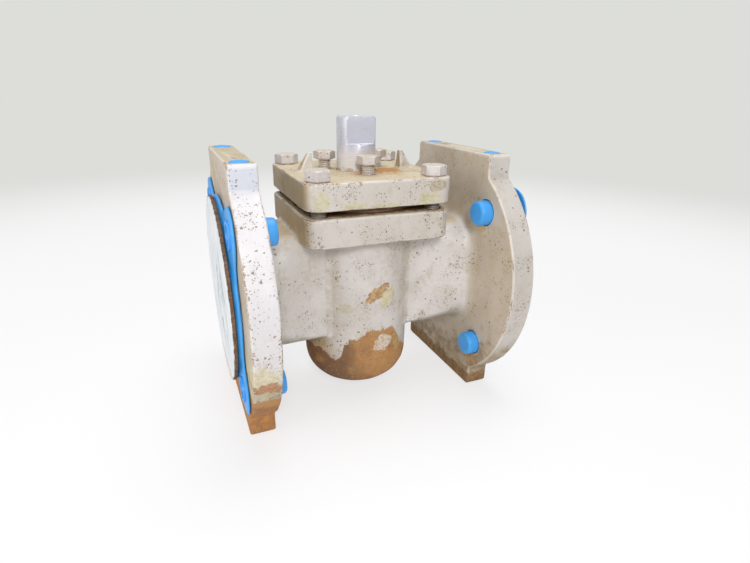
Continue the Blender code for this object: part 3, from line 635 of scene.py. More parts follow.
class Finish:
    """A material and its colour so far, with short calls for its nodes. Lengths are in millimetres."""

    def __init__(self, name):
        self.material = bpy.data.materials.new(name)
        self.material.use_nodes = True
        self.tree = self.material.node_tree
        self.shader = self.tree.nodes["Principled BSDF"]
        coords = self.node("ShaderNodeTexCoord", {})
        self.place = self.vector("SCALE", coords.outputs["Object"], scale=1000.0)
        self.x, self.y, self.z = self.split(self.place)
        self.nx, self.ny, self.nz = self.split(coords.outputs["Normal"])
        self.out = self.math("ABSOLUTE", self.x)

    def node(self, kind, inputs, **settings):
        """A new node with its settings, and its inputs by name or number."""
        node = self.tree.nodes.new(kind)
        for key, value in settings.items():
            setattr(node, key, value)
        for key, value in inputs.items():
            self.give(node.inputs[key], value)
        return node

    def give(self, socket, value):
        """Link or set a socket. Three numbers for a colour are levels in a picture, from 0 to 255."""
        if isinstance(value, bpy.types.NodeSocket):
            self.tree.links.new(value, socket)
        elif socket.type == "RGBA" and len(value) == 3:
            socket.default_value = srgb(*value)
        else:
            socket.default_value = value

    def split(self, vector):
        return self.node("ShaderNodeSeparateXYZ", {0: vector}).outputs[0:3]

    def vector(self, operation, a, b=(0.0, 0.0, 0.0), scale=1.0):
        node = self.node("ShaderNodeVectorMath", {0: a, 1: b, 3: scale}, operation=operation)
        return node.outputs["Value" if operation == "LENGTH" else 0]

    def math(self, operation, a, b=0.0, c=0.0):
        return self.node("ShaderNodeMath", {0: a, 1: b, 2: c}, operation=operation).outputs[0]

    def chain(self, operation, values):
        total = values[0]
        for value in values[1:]:
            total = self.math(operation, total, value)
        return total

    def plus(self, *values):
        return self.chain("ADD", values)

    def times(self, *values):
        return self.chain("MULTIPLY", values)

    def minus(self, a, b):
        return self.math("SUBTRACT", a, b)

    def scaled(self, value, factor, offset):
        return self.math("MULTIPLY_ADD", value, factor, offset)

    def most(self, *values):
        return self.chain("MAXIMUM", values)

    def least(self, *values):
        return self.chain("MINIMUM", values)

    def step(self, value, low, high):
        """Rises smoothly from 0 at low to 1 at high, or falls where high is the smaller."""
        inputs = {"Value": value, "From Min": low, "From Max": high}
        return self.node("ShaderNodeMapRange", inputs, interpolation_type="SMOOTHSTEP").outputs[0]

    def noise(self, size, detail=3.0, rough=0.5, stretch=None, bend=0.0):
        """Cloudy noise from 0 to 1 with blots of about the given size."""
        place = self.place if stretch is None else self.vector("MULTIPLY", self.place, stretch)
        inputs = {"Vector": place, "Scale": 1 / size, "Detail": detail, "Roughness": rough,
                  "Distortion": bend}
        return self.node("ShaderNodeTexNoise", inputs).outputs[0]

    def ragged(self, size, reach, detail=4.0):
        """Noise about zero, for a boundary that wanders by about the reach."""
        return self.scaled(self.noise(size, detail, 0.6), 2 * reach, -reach)

    def shaken(self, size, reach):
        """The place, moved about by noise."""
        node = self.node("ShaderNodeTexNoise", {"Vector": self.place, "Scale": 1 / size})
        offset = self.vector("SUBTRACT", node.outputs["Color"], (0.5, 0.5, 0.5))
        return self.vector("ADD", self.place, self.vector("SCALE", offset, scale=reach))

    def specks(self, size, share, small=0.16, large=0.42):
        """Uneven specks in a share of the cells, from 0 to 1 inside them."""
        inputs = {"Vector": self.shaken(size * 0.55, size * 1.1), "Scale": 1 / size}
        node = self.node("ShaderNodeTexVoronoi", inputs)
        red, green, _ = self.split(node.outputs["Color"])
        radius = self.scaled(green, large - small, small)
        inside = self.step(self.minus(node.outputs["Distance"], radius), 0.05, -0.07)
        return self.times(inside, self.math("LESS_THAN", red, share))

    def mix(self, share, a, b):
        return self.node("ShaderNodeMix", {0: share, 6: a, 7: b}, data_type="RGBA").outputs[2]

    def over(self, colour, share, tint, strength=1.0):
        """A tint over a colour, by a share that the strength scales."""
        return self.mix(self.times(share, strength), colour, tint)

    def coat(self, share, tint, strength=1.0):
        """A tint over this finish's colour."""
        self.colour = self.over(self.colour, share, tint, strength)

    def blend(self, share, a, b):
        return self.plus(a, self.times(share, self.minus(b, a)))

    def attribute(self, name):
        return self.node("ShaderNodeAttribute", {}, attribute_name=name).outputs["Fac"]

    def from_line(self, across, point=(0.0, 0.0, 0.0)):
        """Distance from a line through a point. The axes across the line are 1 and the others 0."""
        offset = self.vector("SUBTRACT", self.place, point)
        return self.vector("LENGTH", self.vector("MULTIPLY", offset, across))

    def from_point(self, point, size, tilt=0.0):
        """Distance from a point, where size is the length of one unit along each axis, tilted about Y."""
        offset = self.vector("SUBTRACT", self.place, point)
        inputs = {"Vector": offset, "Angle": math.radians(tilt)}
        turned = self.node("ShaderNodeVectorRotate", inputs, rotation_type="Y_AXIS")
        return self.vector("LENGTH", self.vector("DIVIDE", turned.outputs[0], size))

    def patch(self, spot):
        """A flaked or stained patch, with a fine ragged outline."""
        point, size, tilt, edge, inner, strength, raggedness = spot
        level = self.minus(1.0, self.from_point(point, size, tilt))
        large = self.ragged(0.5 * max(size[0], size[2]), 1.3 * raggedness, 4.0)
        level = self.plus(level, large, self.ragged(1.4, 0.5 * raggedness, 5.0))
        tint = self.mix(self.step(self.noise(3.2, 5.0, 0.65), 0.4, 0.6), edge, inner)
        broken = self.scaled(self.step(self.noise(1.3, 4.0, 0.65), 0.36, 0.56), 0.3, 0.7)
        self.coat(self.times(self.step(level, 0.0, 0.1), broken), tint, strength)
        rim = self.times(self.step(level, -0.06, 0.0), self.step(level, 0.08, 0.02))
        rim = self.times(rim, self.step(self.noise(2.8, 4.0), 0.52, 0.6))
        self.coat(rim, (104, 84, 60), 0.5 * strength)

    def curve(self, value, points):
        """A height read off a smooth line through points."""
        node = self.node("ShaderNodeFloatCurve", {"Value": value})
        line = node.mapping.curves[0]
        for number, (along, up) in enumerate(points):
            if number < 2:
                line.points[number].location = (along, up)
            else:
                line.points.new(along, up)
        node.mapping.update()
        return node.outputs[0]

    def done(self, rough, metal=0.0, heights=(), depth=0.3):
        """Wire the colour and roughness up, and the bump from (height, weight) pairs."""
        self.give(self.shader.inputs["Base Color"], self.colour)
        self.give(self.shader.inputs["Roughness"], rough)
        self.give(self.shader.inputs["Metallic"], metal)
        if heights:
            total = self.times(heights[0][0], heights[0][1])
            for height, weight in heights[1:]:
                total = self.scaled(height, weight, total)
            bump = self.node("ShaderNodeBump", {"Strength": depth, "Distance": MM, "Height": total})
            self.give(self.shader.inputs["Normal"], bump.outputs[0])
        return self.material


RUST_DARK = (98, 70, 52)
RUST_BROWN = (150, 104, 70)
RUST_OCHRE = (182, 136, 80)
RUST_ORANGE = (176, 114, 60)


def rust_colour(f, depth):
    """Ochre at a rust patch's edge and browner deeper in, dark inside on the left, with painted shade in
    the gap between bonnet and cover, paler on the feet.
    """
    cloud = f.plus(f.noise(14.0, 5.0, 0.6), f.scaled(f.step(depth, 2.0, 16.0), -0.36, 0.2))
    colour = f.mix(f.step(cloud, 0.36, 0.64), RUST_BROWN, RUST_OCHRE)
    colour = f.over(colour, f.step(f.noise(6.0, 5.0, 0.6), 0.5, 0.7), RUST_ORANGE, 0.6)
    left = f.times(f.step(f.x, 4.0, -26.0), f.step(f.x, -62.0, -52.0))
    # Painted shade: rust darkened in the gap between the bonnet and the cover.
    gap_shade = f.times(f.step(f.z, AXIS + 54.0, AXIS + 56.0), f.step(f.z, AXIS + 65.0, AXIS + 64.0))
    inner = f.most(f.times(left, f.step(f.noise(17.0, 4.0), 0.25, 0.55)), gap_shade)
    colour = f.over(colour, inner, RUST_DARK, 0.75)
    left_foot = f.times(f.step(f.x, -76.0, -78.0), f.step(f.z, 40.0, 20.0))
    mottle = f.scaled(f.step(f.noise(5.0, 6.0, 0.7), 0.35, 0.65), 0.75, 0.1)
    colour = f.over(colour, f.times(left_foot, mottle), (200, 142, 70))
    right_foot = f.step(f.x, 76.0, 78.0)
    colour = f.over(colour, right_foot, f.mix(mottle, (108, 80, 52), (158, 132, 92)), 0.85)
    colour = f.over(colour, f.step(f.noise(3.4, 6.0, 0.7), 0.52, 0.66), (142, 88, 54), 0.4)
    colour = f.over(colour, f.step(f.noise(2.4, 6.0, 0.7), 0.56, 0.68), (206, 160, 100), 0.45)
    return f.over(colour, f.step(f.noise(0.9, 4.0), 0.54, 0.7), RUST_DARK, 0.4)


def cast_paint(name, rust_level, stain_level, spots, chips=()):
    """Worn silver paint on a casting, with painted shade on left-facing sides, undersides, fillets and the
    right flange's rim, and painted highlights on the left flange's front and along outer edges. Rust shows
    where its level, in millimetres, is above zero.
    """
    f = Finish(name)
    bend = f.attribute("bend")
    cloud, blot = f.noise(38.0, 3.0), f.noise(9.0, 4.0, 0.6)
    f.colour = f.mix(f.step(cloud, 0.35, 0.65), (211, 206, 202), (199, 193, 186))
    f.coat(f.step(blot, 0.5, 0.72), (186, 177, 158), 0.55)
    f.coat(f.step(f.noise(2.2, 3.0), 0.5, 0.75), (228, 224, 218), 0.3)
    # Painted shade: a tan tint on left-facing faces, stronger inboard of the flanges where the left flange
    # keeps light off them.
    inboard_shade = f.scaled(f.step(f.out, 76.0, 60.0), 0.38, 0.24)
    side = f.times(f.step(f.nx, -0.55, -0.95), f.scaled(blot, 0.4, inboard_shade))
    f.coat(side, (184, 159, 114))
    top = f.times(f.step(f.nz, 0.88, 0.99), f.scaled(blot, 0.9, 0.3))
    f.coat(top, (202, 184, 146))
    # Painted shade: a darker tint in fillets and creases, where shade falls.
    hollow = f.times(f.step(bend, -0.03, -0.2), f.step(f.noise(7.0, 4.0), 0.35, 0.6))
    f.coat(hollow, (160, 146, 110), 0.3)
    # Painted shade: downward-facing faces darkened, under the passages and the bonnet.
    under = f.times(f.step(f.nz, -0.2, -0.75), f.scaled(blot, 0.5, 0.45))
    f.coat(under, (150, 138, 108))
    olive = f.times(f.step(f.noise(15.0, 5.0, 0.65), 0.57, 0.7), f.step(f.noise(3.0, 3.0), 0.4, 0.6))
    f.coat(olive, (186, 178, 132), 0.5)
    # Painted highlight: a pale lilac tint on the front of the left flange's rim, stronger higher up.
    rim = f.times(f.step(f.x, -78.0, -80.5), f.step(f.ny, -0.25, -0.6))
    f.coat(f.times(rim, f.scaled(f.step(f.z, 60.0, 120.0), 0.45, 0.1)), (226, 226, 234))
    # Painted light: a cool blue-grey tint on the front of the left flange's upper pad.
    pad_front_light = f.times(rim, f.step(f.z, AXIS + 78.0, AXIS + 80.0))
    f.coat(pad_front_light, (198, 206, 220), 0.6)
    square = f.times(f.step(f.z, AXIS + 36.5, AXIS + 38.5), f.step(f.out, 58.0, 54.0))
    f.coat(f.times(square, f.step(f.ny, -0.6, -0.9)), (188, 179, 164), 0.35)
    # Painted shade: the front of the right flange's rim darkened.
    right_rim_shade = f.times(f.step(f.x, 78.0, 80.5), f.step(f.ny, -0.2, -0.5))
    f.coat(right_rim_shade, (176, 170, 160), 0.35)
    pad_top = f.times(f.step(f.out, 78.0, 80.0), f.step(f.nz, 0.88, 0.99))
    f.coat(pad_top, (170, 158, 128), 0.45)

    stain = f.step(f.plus(stain_level(f), f.ragged(9.0, 17.0, 5.0)), -3.0, 14.0)
    streaks = f.step(f.noise(5.0, 6.0, 0.65, (1.0, 0.6, 1.0)), 0.36, 0.64)
    f.coat(f.times(stain, f.scaled(streaks, 0.5, 0.35)), (166, 144, 106))
    grime = f.times(stain, stain, f.step(f.noise(8.0, 7.0, 0.7, (1.0, 0.7, 1.0)), 0.42, 0.62))
    f.coat(grime, (124, 96, 64), 0.75)

    rim_edges = f.times(rim, f.step(f.math("ABSOLUTE", f.plus(f.x, FLANGE_MID)), 3.0, 7.0))
    crowd = f.step(f.noise(19.0, 4.0, 0.6), 0.46, 0.7)
    fine = f.specks(1.2, f.most(f.times(crowd, 0.7), f.times(rim_edges, 0.4)))
    pits = f.most(f.specks(2.1, f.scaled(crowd, 0.42, 0.03)), fine)
    f.coat(pits, f.mix(f.noise(3.0), (78, 62, 46), (150, 126, 92)), 0.8)

    # Lighter paint on outer edges: partly worn paint, partly a painted highlight along the edges.
    worn = f.step(f.plus(bend, f.ragged(3.0, 0.4)), 0.34, 0.5)
    f.coat(worn, (226, 220, 212), 0.4)
    chipped = f.step(f.plus(bend, f.ragged(1.5, 0.8, 3.0)), 0.66, 0.76)
    chipped = f.times(chipped, f.step(f.noise(19.0, 3.0), 0.5, 0.6))
    f.coat(chipped, f.mix(f.noise(2.0), (96, 66, 40), (178, 130, 84)), 0.8)

    for spot in spots:
        f.patch(spot)

    depth = f.plus(rust_level(f), f.ragged(8.0, 8.0, 6.0), f.ragged(1.5, 3.0, 5.0))
    rust = f.step(depth, -0.5, 1.0)
    f.coat(rust, rust_colour(f, depth), 0.95)
    for spot in chips:
        f.patch(spot)

    rough = f.blend(rust, f.scaled(blot, 0.25, 0.4), 0.85)
    grain = f.noise(0.9, 4.0, 0.6)
    scale = f.times(rust, f.noise(1.6, 4.0))
    heights = ((grain, 0.22), (blot, 0.12), (pits, -0.45), (rust, -0.12), (scale, 0.4), (chipped, -0.2))
    return f.done(rough, 0.12, heights, 0.55)


FOOT_BACK = 77.0
UPRIGHT = (1.0, 1.0, 0.0)
ALONG_PIPE = (0.0, 1.0, 1.0)
# Edge of the rust round the barrel: angle about the stem, -90 at the front, and height over the floor
DOME_EDGE = ((-180, 41), (-160, 43), (-145, 41), (-131, 38), (-122, 49), (-111, 55), (-100, 60), (-86, 62),
             (-73, 61), (-62, 55), (-43, 38), (0, 34), (60, 44), (120, 36), (180, 41))


def dome_rust(f):
    """Rust on the barrel's dome, below an uneven edge."""
    turn = f.math("ARCTAN2", f.y, f.x)
    share = f.scaled(turn, 0.5 / math.pi, 0.5)
    points = [((angle + 180) / 360, height / 100) for angle, height in DOME_EDGE]
    edge = f.times(f.curve(share, points), 100.0)
    return f.least(f.minus(edge, f.z), f.minus(47.0, f.from_line(UPRIGHT)))


def body_rust(f):
    """Rust on the barrel's dome, on the feet and on the seat under the cover."""
    reach = f.scaled(f.step(f.x, -60.0, 60.0), -37.0, 48.0)
    foot = f.least(f.minus(reach, f.z), f.times(f.minus(f.out, FOOT_BACK), 3.0))
    seat = f.minus(48.0, f.most(f.out, f.math("ABSOLUTE", f.y)))
    seat = f.least(seat, f.times(f.minus(f.z, AXIS + BONNET_TOP - 2.0), 6.0))
    return f.most(dome_rust(f), foot, seat)


def body_stain(f):
    """Yellow-brown staining up from the feet, higher on the left, and a bloom round the dome's rust."""
    front = f.times(f.step(f.y, 0.0, -90.0), 22.0)
    reach = f.plus(front, f.scaled(f.step(f.x, -60.0, 60.0), -10.0, 44.0))
    feet = f.least(f.minus(reach, f.z), f.times(f.minus(f.out, FOOT_BACK), 3.0))
    return f.most(feet, f.plus(dome_rust(f), 1.0))


def cover_rust(f):
    """Rust on the cover's top, round the stem and the adjusters, and under the cover."""
    levels = [f.minus(18.0, f.from_line(UPRIGHT))]
    for number in range(3):
        levels.append(f.minus(9.0, f.from_line(UPRIGHT, (*adjuster_place(number), 0.0))))
    patch = f.minus(1.0, f.from_point((16.0, -12.0, COVER_TOP + AXIS), (26.0, 17.0, 9.0)))
    levels.append(f.times(patch, 11.0))
    top = f.plus(f.most(*levels), -4.6)
    top = f.least(top, f.times(f.minus(f.z, AXIS + COVER_TOP - 0.8), 4.0))
    under = f.minus(COVER_LOW + AXIS - 0.2, f.z)
    return f.most(top, f.times(under, 4.0))


def cover_stain(f):
    """A wider tan bloom round the cover's rust, and scattered stains on its front."""
    return f.most(f.plus(cover_rust(f), 6.0), f.scaled(f.step(f.ny, -0.5, -0.9), 30.0, -36.5))


YELLOW, OLIVE, OCHRE, BROWN = (206, 196, 146), (178, 168, 118), (192, 152, 84), (150, 108, 62)
WHITE = (226, 220, 214)

# Patches: place, reach along each axis, tilt, colours of the edge and the inside, strength, raggedness
BODY_SPOTS = (
    ((2.5, -41.5, 92.0), (12.0, 14.0, 4.8), 32.0, OCHRE, BROWN, 0.95, 0.8),
    ((10.0, -40.5, 86.5), (8.5, 12.0, 6.0), 70.0, (212, 202, 164), (196, 182, 128), 0.85, 0.8),
    ((-21.0, -36.0, 80.0), (6.0, 10.0, 4.0), 0.0, (196, 184, 150), OLIVE, 0.5, 0.7),
    ((-66.0, -36.0, 146.0), (12.0, 12.0, 12.0), 0.0, YELLOW, (190, 122, 66), 0.85, 0.8),
    ((81.0, -53.0, 136.0), (3.0, 9.0, 5.0), 0.0, YELLOW, (176, 142, 90), 0.6, 0.6),
    ((81.0, -53.0, 28.0), (3.0, 10.0, 7.0), 0.0, OCHRE, BROWN, 0.7, 0.6),
    ((70.0, -41.0, 140.0), (12.0, 10.0, 9.0), 0.0, YELLOW, (190, 178, 128), 0.6, 0.7),
    ((-92.0, -80.0, 68.0), (20.0, 30.0, 12.0), 8.0, (212, 204, 166), (192, 176, 120), 0.7, 0.9),
    ((-90.0, -82.0, 60.0), (12.0, 20.0, 5.0), -12.0, (178, 112, 76), BROWN, 0.9, 0.9),
)
BODY_CHIPS = (
    ((7.0, -41.0, 49.0), (9.0, 12.0, 7.0), 20.0, WHITE, (196, 176, 150), 0.8, 0.8),
    ((21.0, -34.0, 44.0), (4.0, 12.0, 9.0), 15.0, (192, 170, 118), (170, 140, 84), 0.7, 0.7),
    ((-94.0, -78.0, 53.0), (10.0, 20.0, 5.0), 10.0, (184, 180, 150), (200, 192, 160), 0.7, 0.9),
)

COVER_SPOTS = (
    ((-21.0, -53.2, 160.0), (9.0, 6.0, 3.0), 0.0, YELLOW, OLIVE, 0.6, 0.6),
    ((2.0, -53.2, 159.5), (14.0, 6.0, 2.0), 0.0, YELLOW, (190, 180, 132), 0.5, 0.6),
    ((34.0, -53.2, 162.0), (9.0, 6.0, 5.0), 0.0, YELLOW, OLIVE, 0.6, 0.7),
    ((40.0, -53.2, 171.0), (8.0, 6.0, 4.0), 0.0, (180, 166, 120), (126, 104, 70), 0.6, 0.7),
    ((-44.0, -52.0, 164.0), (6.0, 6.0, 7.0), 0.0, YELLOW, (180, 168, 120), 0.5, 0.7),
    ((12.0, -20.0, 176.5), (20.0, 9.0, 4.0), 0.0, (204, 168, 122), (186, 132, 84), 0.7, 0.9),
)


def bolt_finish(name, paint, rust_share):
    """Dull silver paint on a bolt, with rust blots and pits, tan on top and painted shade on the shank
    below the cover.
    """
    f = Finish(name)
    cloud = f.noise(6.0, 4.0, 0.6)
    f.colour = f.over(paint, f.step(cloud, 0.4, 0.75), (184, 172, 152), 0.6)
    f.coat(f.step(f.nz, 0.6, 0.95), (206, 194, 166), 0.6)
    rust = f.step(f.plus(f.noise(4.0, 5.0, 0.65), rust_share), 0.62, 0.74)
    f.coat(rust, f.mix(f.noise(2.5), RUST_DARK, RUST_BROWN), 0.85)
    pits = f.specks(1.6, 0.2)
    f.coat(pits, (88, 70, 50), 0.7)
    # Painted shade: the shank darkened below the cover, in the gap and the tapped hole.
    f.coat(f.step(f.z, AXIS + COVER_LOW + 1.5, AXIS + COVER_LOW - 0.5), (92, 80, 70), 0.6)
    rough = f.blend(rust, f.scaled(cloud, 0.2, 0.34), 0.8)
    return f.done(rough, 0.35, ((f.noise(0.6, 3.0), 0.12), (pits, -0.3), (rust, -0.1)), 0.4)


def stem_finish():
    """Turned steel with fine tool marks and rust spots, painted over and rusted low down."""
    f = Finish("turned_steel")
    cloud = f.noise(8.0, 4.0)
    f.colour = f.mix(cloud, (218, 219, 232), (200, 201, 215))
    low = f.step(f.plus(f.z, f.ragged(6.0, 5.0)), 196.0, 186.0)
    f.coat(low, (216, 212, 206), 0.7)
    rust = f.step(f.plus(f.minus(178.0, f.z), f.ragged(4.0, 8.0, 6.0)), -1.0, 2.5)
    f.coat(rust, f.mix(f.noise(3.0, 4.0), RUST_BROWN, (196, 172, 132)), 0.7)
    spots = f.specks(4.2, 0.13, 0.1, 0.24)
    f.coat(spots, (112, 78, 58), 0.8)
    marks = f.noise(0.55, 2.0, 0.5, (0.06, 0.06, 1.0))
    f.coat(f.step(marks, 0.5, 0.75), (150, 149, 156), 0.25)
    rough = f.plus(f.scaled(cloud, 0.16, 0.27), f.times(f.most(low, rust), 0.22))
    metal = f.blend(f.most(low, rust), 0.7, 0.25)
    return f.done(rough, metal, ((marks, 0.12), (spots, -0.3)), 0.3)


def plastic_finish(name, light, deep):
    """Moulded polyethylene, scuffed and a little dusty."""
    f = Finish(name)
    cloud = f.noise(16.0, 3.0)
    f.colour = f.mix(cloud, light, deep)
    scuff = f.step(f.noise(2.4, 5.0, 0.7, (0.35, 1.0, 1.0)), 0.6, 0.76)
    f.coat(scuff, (150, 200, 238), 0.35)
    grime = f.step(f.noise(5.0, 5.0, 0.65), 0.66, 0.8)
    f.coat(grime, (84, 104, 112), 0.3)
    rough = f.scaled(f.noise(3.0, 4.0), 0.25, 0.3)
    return f.done(rough, 0.0, ((f.noise(0.7, 3.0), 0.1), (scuff, -0.1)), 0.35)


def board_finish():
    """Hardboard: a brown fibrous edge, a pale coat on the face that is scuffed through in streaks."""
    f = Finish("hardboard")
    fibre = f.noise(1.3, 4.0, 0.6, (0.5, 1.0, 1.0))
    brown = f.mix(f.step(fibre, 0.35, 0.7), (84, 62, 48), (136, 106, 80))
    brown = f.over(brown, f.specks(1.4, 0.3), (48, 36, 30), 0.6)
    cloud = f.noise(26.0, 4.0, 0.6)
    coat = f.mix(f.step(cloud, 0.35, 0.65), (234, 238, 242), (218, 226, 232))
    streak = f.noise(7.0, 5.0, 0.65, (1.0, 1.0, 0.16), 0.4)
    worked = f.step(f.from_point((-106.0, -8.0, 92.0), (30.0, 34.0, 40.0)), 1.2, 0.4)
    coat = f.over(coat, f.times(f.step(streak, 0.56, 0.64), f.scaled(worked, 0.6, 0.15)), (150, 184, 190))
    coat = f.over(coat, f.times(f.step(streak, 0.6, 0.66), worked), (70, 96, 100))
    smear = f.step(f.noise(17.0, 6.0, 0.68, (1.0, 1.0, 0.45)), 0.54, 0.6)
    coat = f.over(coat, f.times(smear, worked), (74, 104, 114), 0.75)
    scratch = f.step(f.noise(2.2, 4.0, 0.6, (1.0, 0.9, 0.12)), 0.66, 0.72)
    coat = f.over(coat, scratch, (96, 108, 106), 0.7)
    around = f.from_line(ALONG_PIPE, (0.0, 0.0, AXIS))
    bare = f.step(f.plus(around, f.ragged(4.0, 3.0, 5.0)), 65.6, 66.6)
    low = f.step(f.plus(f.z, f.ragged(6.0, 7.0, 4.0)), 42.0, 34.0)
    coat = f.over(coat, low, (196, 170, 140), 0.5)
    outer = f.step(f.out, 104.6, 105.2)
    face = f.times(f.step(f.math("ABSOLUTE", f.nx), 0.75, 0.9), f.minus(1.0, bare), outer)
    f.colour = f.mix(face, brown, coat)
    rough = f.blend(face, 0.85, f.scaled(cloud, 0.2, 0.32))
    return f.done(rough, 0.0, ((fibre, f.scaled(face, -0.5, 0.6)), (streak, 0.1)), 0.5)


def ptfe_finish():
    """Smooth white PTFE, stained brown at its rim."""
    f = Finish("ptfe")
    rim = f.step(f.plus(f.from_line(UPRIGHT), f.ragged(5.0, 2.5, 4.0)), 42.5, 45.0)
    f.colour = f.mix(f.noise(12.0, 3.0), (236, 234, 228), (222, 219, 208))
    f.coat(rim, f.mix(f.noise(4.0, 4.0), (110, 72, 50), (160, 116, 78)), 0.9)
    return f.done(f.scaled(f.noise(4.0), 0.2, 0.35), 0.0, ((f.noise(0.8, 3.0), 0.1),), 0.25)


def hidden_steel(name, steel, rust_share):
    """Bare steel inside the valve, browned in blots."""
    f = Finish(name)
    cloud = f.noise(7.0, 4.0)
    f.colour = f.mix(cloud, steel, (140, 132, 124))
    rust = f.step(f.plus(f.noise(6.0, 5.0, 0.6), rust_share), 0.55, 0.7)
    f.coat(rust, f.mix(f.noise(3.0, 4.0), RUST_DARK, RUST_BROWN), 0.9)
    marks = f.noise(0.6, 2.0, 0.5, (0.1, 0.1, 1.0))
    rough = f.blend(rust, 0.35, 0.8)
    return f.done(rough, f.blend(rust, 0.8, 0.1), ((marks, 0.1), (rust, -0.1)), 0.3)


# Pieces

def add_piece(name, mesh, body, node, material):
    """A detailed piece in the place of a CAD node."""
    mesh.materials.clear()
    mesh.materials.append(material)
    piece = add_object(name, mesh)
    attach(piece, body)
    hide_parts(node)


def dress_node(node, material):
    """A CAD node that stays, with a better finish."""
    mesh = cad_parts[node].data
    mesh.materials.clear()
    mesh.materials.append(material)


BODY_PAINT = cast_paint("silver_paint_body", body_rust, body_stain, BODY_SPOTS, BODY_CHIPS)
COVER_PAINT = cast_paint("silver_paint_cover", cover_rust, cover_stain, COVER_SPOTS)
BOLT_PAINT = bolt_finish("silver_paint_bolts", (212, 206, 208), -0.1)
ADJUSTER_PAINT = bolt_finish("silver_paint_adjusters", (206, 198, 196), -0.04)
BLUE = plastic_finish("blue_plastic", (74, 168, 238), (52, 148, 226))
BOARD = board_finish()
PTFE = ptfe_finish()

body_mesh = casting("body_casting", body_distance, (-103.3, -97.1, -97.2), (103.3, 97.1, 97.2), 1.2, 0.3)
add_piece("body_casting", body_mesh, "valve_body", "body", BODY_PAINT)
cover_mesh = casting("cover_casting", cover_distance, (-54.9, -55.1, 59.7), (54.9, 55.1, 95.3), 0.8, 0.3)
add_piece("cover_casting", cover_mesh, "valve_body", "top_cover", COVER_PAINT)
add_piece("plug_and_stem", plug_mesh(), "plug", "plug", stem_finish())

COVER_BOLT = {"head_low": 81.5, "flats": 15.9, "height": 7.2, "shank": 5.5, "tip": 41.0, "thread_top": 64.0,
              "pitch": 1.81}
COVER_BOLT_TURNS = (-17.5, -3.0, 10.0, 23.0)
for number, (along, across) in enumerate(((-1, -1), (1, -1), (1, 1), (-1, 1))):
    label = f"cover_bolt_{number + 1}"
    spot = (along * COVER_BOLT_AT, across * COVER_BOLT_AT)
    turn = math.radians(COVER_BOLT_TURNS[number])
    bolt = hex_bolt(label + "_hex", spot, turn, **COVER_BOLT)
    add_piece(label + "_hex", bolt, "valve_body", label, BOLT_PAINT)

ADJUSTER = {"head_low": 88.0, "flats": 14.3, "height": 6.0, "shank": 4.7, "tip": 70.7, "thread_top": 87.0,
            "pitch": 1.59}
ADJUSTER_TURNS = (11.0, 4.0, 12.0)
for number in range(3):
    label = f"adjuster_bolt_{number + 1}"
    turn = math.radians(ADJUSTER_TURNS[number])
    bolt = hex_bolt(label + "_hex", adjuster_place(number), turn, **ADJUSTER)
    add_piece(label + "_hex", bolt, f"adjuster_{number + 1}", label, ADJUSTER_PAINT)

for side, label in ((-1, "left"), (1, "right")):
    cap = cap_mesh("moulded_cap_" + label, side)
    add_piece("moulded_cap_" + label, cap, "cap_" + label, "flange_cap_" + label, BLUE)
    board = board_mesh("board_disc_" + label, side)
    add_piece("board_disc_" + label, board, "cap_" + label, "cap_board_" + label, BOARD)

for number, (along, across) in enumerate(((-1, -1), (-1, 1), (1, -1), (1, 1))):
    label = f"pad_plug_{number + 1}"
    domed = pad_plug_mesh(label + "_domed", along * FLANGE_MID, across * PAD_HOLE_AT)
    add_piece(label + "_domed", domed, "valve_body", label, BLUE)

dress_node("sleeve", PTFE)
dress_node("ptfe_diaphragm", PTFE)
dress_node("steel_diaphragm", hidden_steel("diaphragm_steel", (150, 130, 112), 0.12))
dress_node("thrust_collar", hidden_steel("collar_steel", (178, 176, 174), -0.05))


# Floor, light and camera

BACKDROP = srgb(221, 222, 218)
ROOM_LIGHT = (0.33, 0.33, 0.345, 1.0)
FLOOR_GLOW = 0.67
FLOOR_DROP = 0.0002
LAMPS_AIM = (0.0, 0.0, 0.09)


def seen_share(tree):
    """1 for the rays that show a surface, directly or in a reflection, and 0 for those that only light."""
    path = tree.nodes.new("ShaderNodeLightPath")
    seen = path.outputs["Is Camera Ray"]
    for ray in ("Is Glossy Ray", "Is Transmission Ray"):
        either = tree.nodes.new("ShaderNodeMath")
        either.operation = "MAXIMUM"
        tree.links.new(seen, either.inputs[0])
        tree.links.new(path.outputs[ray], either.inputs[1])
        seen = either.outputs[0]
    return seen


def floor_finish():
    """A white table top that keeps the soft shadow and runs into the pale backdrop."""
    f = Finish("white_floor")
    f.colour = f.mix(f.noise(300.0, 3.0), (246, 245, 247), (241, 241, 243))
    f.done(0.6, 0.0, ((f.noise(2.0, 3.0), 0.02),), 0.1)
    away = f.vector("LENGTH", f.place)
    far = f.step(away, 400.0, 1200.0)
    light = f.mix(f.step(away, 500.0, 1300.0), (254, 254, 254), BACKDROP)
    glow = f.node("ShaderNodeEmission", {"Color": light})
    share = f.times(seen_share(f.tree), f.blend(far, FLOOR_GLOW, 1.0))
    mix = f.node("ShaderNodeMixShader", {0: share, 1: f.shader.outputs[0], 2: glow.outputs[0]})
    f.give(f.tree.nodes["Material Output"].inputs["Surface"], mix.outputs[0])
    return f.material


def add_floor():
    shape = bmesh.new()
    bmesh.ops.create_grid(shape, x_segments=8, y_segments=8, size=8.0)
    mesh = mesh_of("floor", shape)
    mesh.materials.append(floor_finish())
    floor = add_object("floor", mesh)
    floor.location.z = -FLOOR_DROP


def add_lamp(name, place, size, power, colour):
    """A soft round lamp that points at the middle of the valve."""
    lamp = bpy.data.lights.new(name, "AREA")
    lamp.shape = "DISK"
    lamp.size = size
    lamp.energy = power
    lamp.color = colour
    obj = add_object(name, lamp)
    obj.location = place
    obj.rotation_euler = (Vector(LAMPS_AIM) - Vector(place)).to_track_quat("-Z", "Y").to_euler()


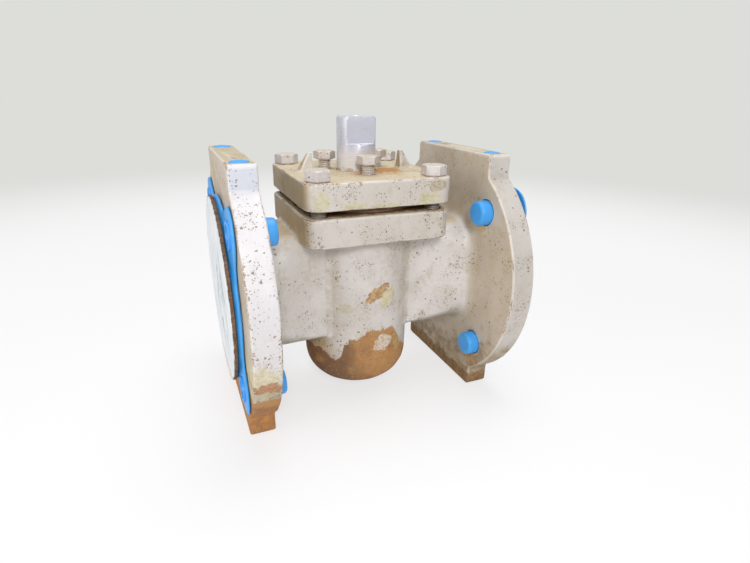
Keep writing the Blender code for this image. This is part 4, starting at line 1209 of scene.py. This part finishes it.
def add_world():
    """Even light all round, and a pale backdrop where the world itself is seen."""
    world = bpy.data.worlds.new("studio")
    bpy.context.scene.world = world
    world.use_nodes = True
    tree = world.node_tree
    background = tree.nodes["Background"]
    background.inputs["Color"].default_value = ROOM_LIGHT
    mix = tree.nodes.new("ShaderNodeMixShader")
    backdrop = tree.nodes.new("ShaderNodeBackground")
    backdrop.inputs["Color"].default_value = BACKDROP
    tree.links.new(seen_share(tree), mix.inputs[0])
    tree.links.new(background.outputs[0], mix.inputs[1])
    tree.links.new(backdrop.outputs[0], mix.inputs[2])
    tree.links.new(mix.outputs[0], tree.nodes["World Output"].inputs["Surface"])


# The photograph's view, as fitted to the flanges: metres, degrees and pixels
EYE = (-0.13119, -0.34216, 0.23126)
YAW, PITCH, ROLL = 23.48, 21.64, 1.17
FOCAL_PIXELS = 481.1
FRAME_PIXELS = 750


def add_camera():
    """A camera with the photograph's view."""
    yaw, pitch, roll = math.radians(YAW), math.radians(PITCH), math.radians(ROLL)
    ahead = Vector((math.sin(yaw) * math.cos(pitch), math.cos(yaw) * math.cos(pitch), -math.sin(pitch)))
    right = Vector((math.cos(yaw), -math.sin(yaw), 0.0))
    up = right.cross(ahead)
    right, up = (math.cos(roll) * right + math.sin(roll) * up, math.cos(roll) * up - math.sin(roll) * right)
    data = bpy.data.cameras.new("camera")
    data.sensor_fit = "HORIZONTAL"
    data.sensor_width = 36.0
    data.lens = FOCAL_PIXELS / FRAME_PIXELS * data.sensor_width
    data.clip_start = 0.01
    camera = add_object("camera", data)
    turn = Matrix((right, up, -ahead)).transposed().to_4x4()
    camera.matrix_world = Matrix.Translation(EYE) @ turn
    bpy.context.scene.camera = camera


add_floor()
add_lamp("key", (-0.26, -0.97, 0.7), 0.28, 6.6, (1.0, 0.985, 0.97))
add_lamp("left_fill", (-1.3, -0.2, 0.6), 0.9, 5.4, (1.0, 0.95, 0.88))
add_lamp("top_fill", (0.2, 0.2, 1.5), 1.2, 11.0, (1.0, 1.0, 1.0))
add_world()
add_camera()
bpy.context.scene.view_settings.view_transform = "Standard"
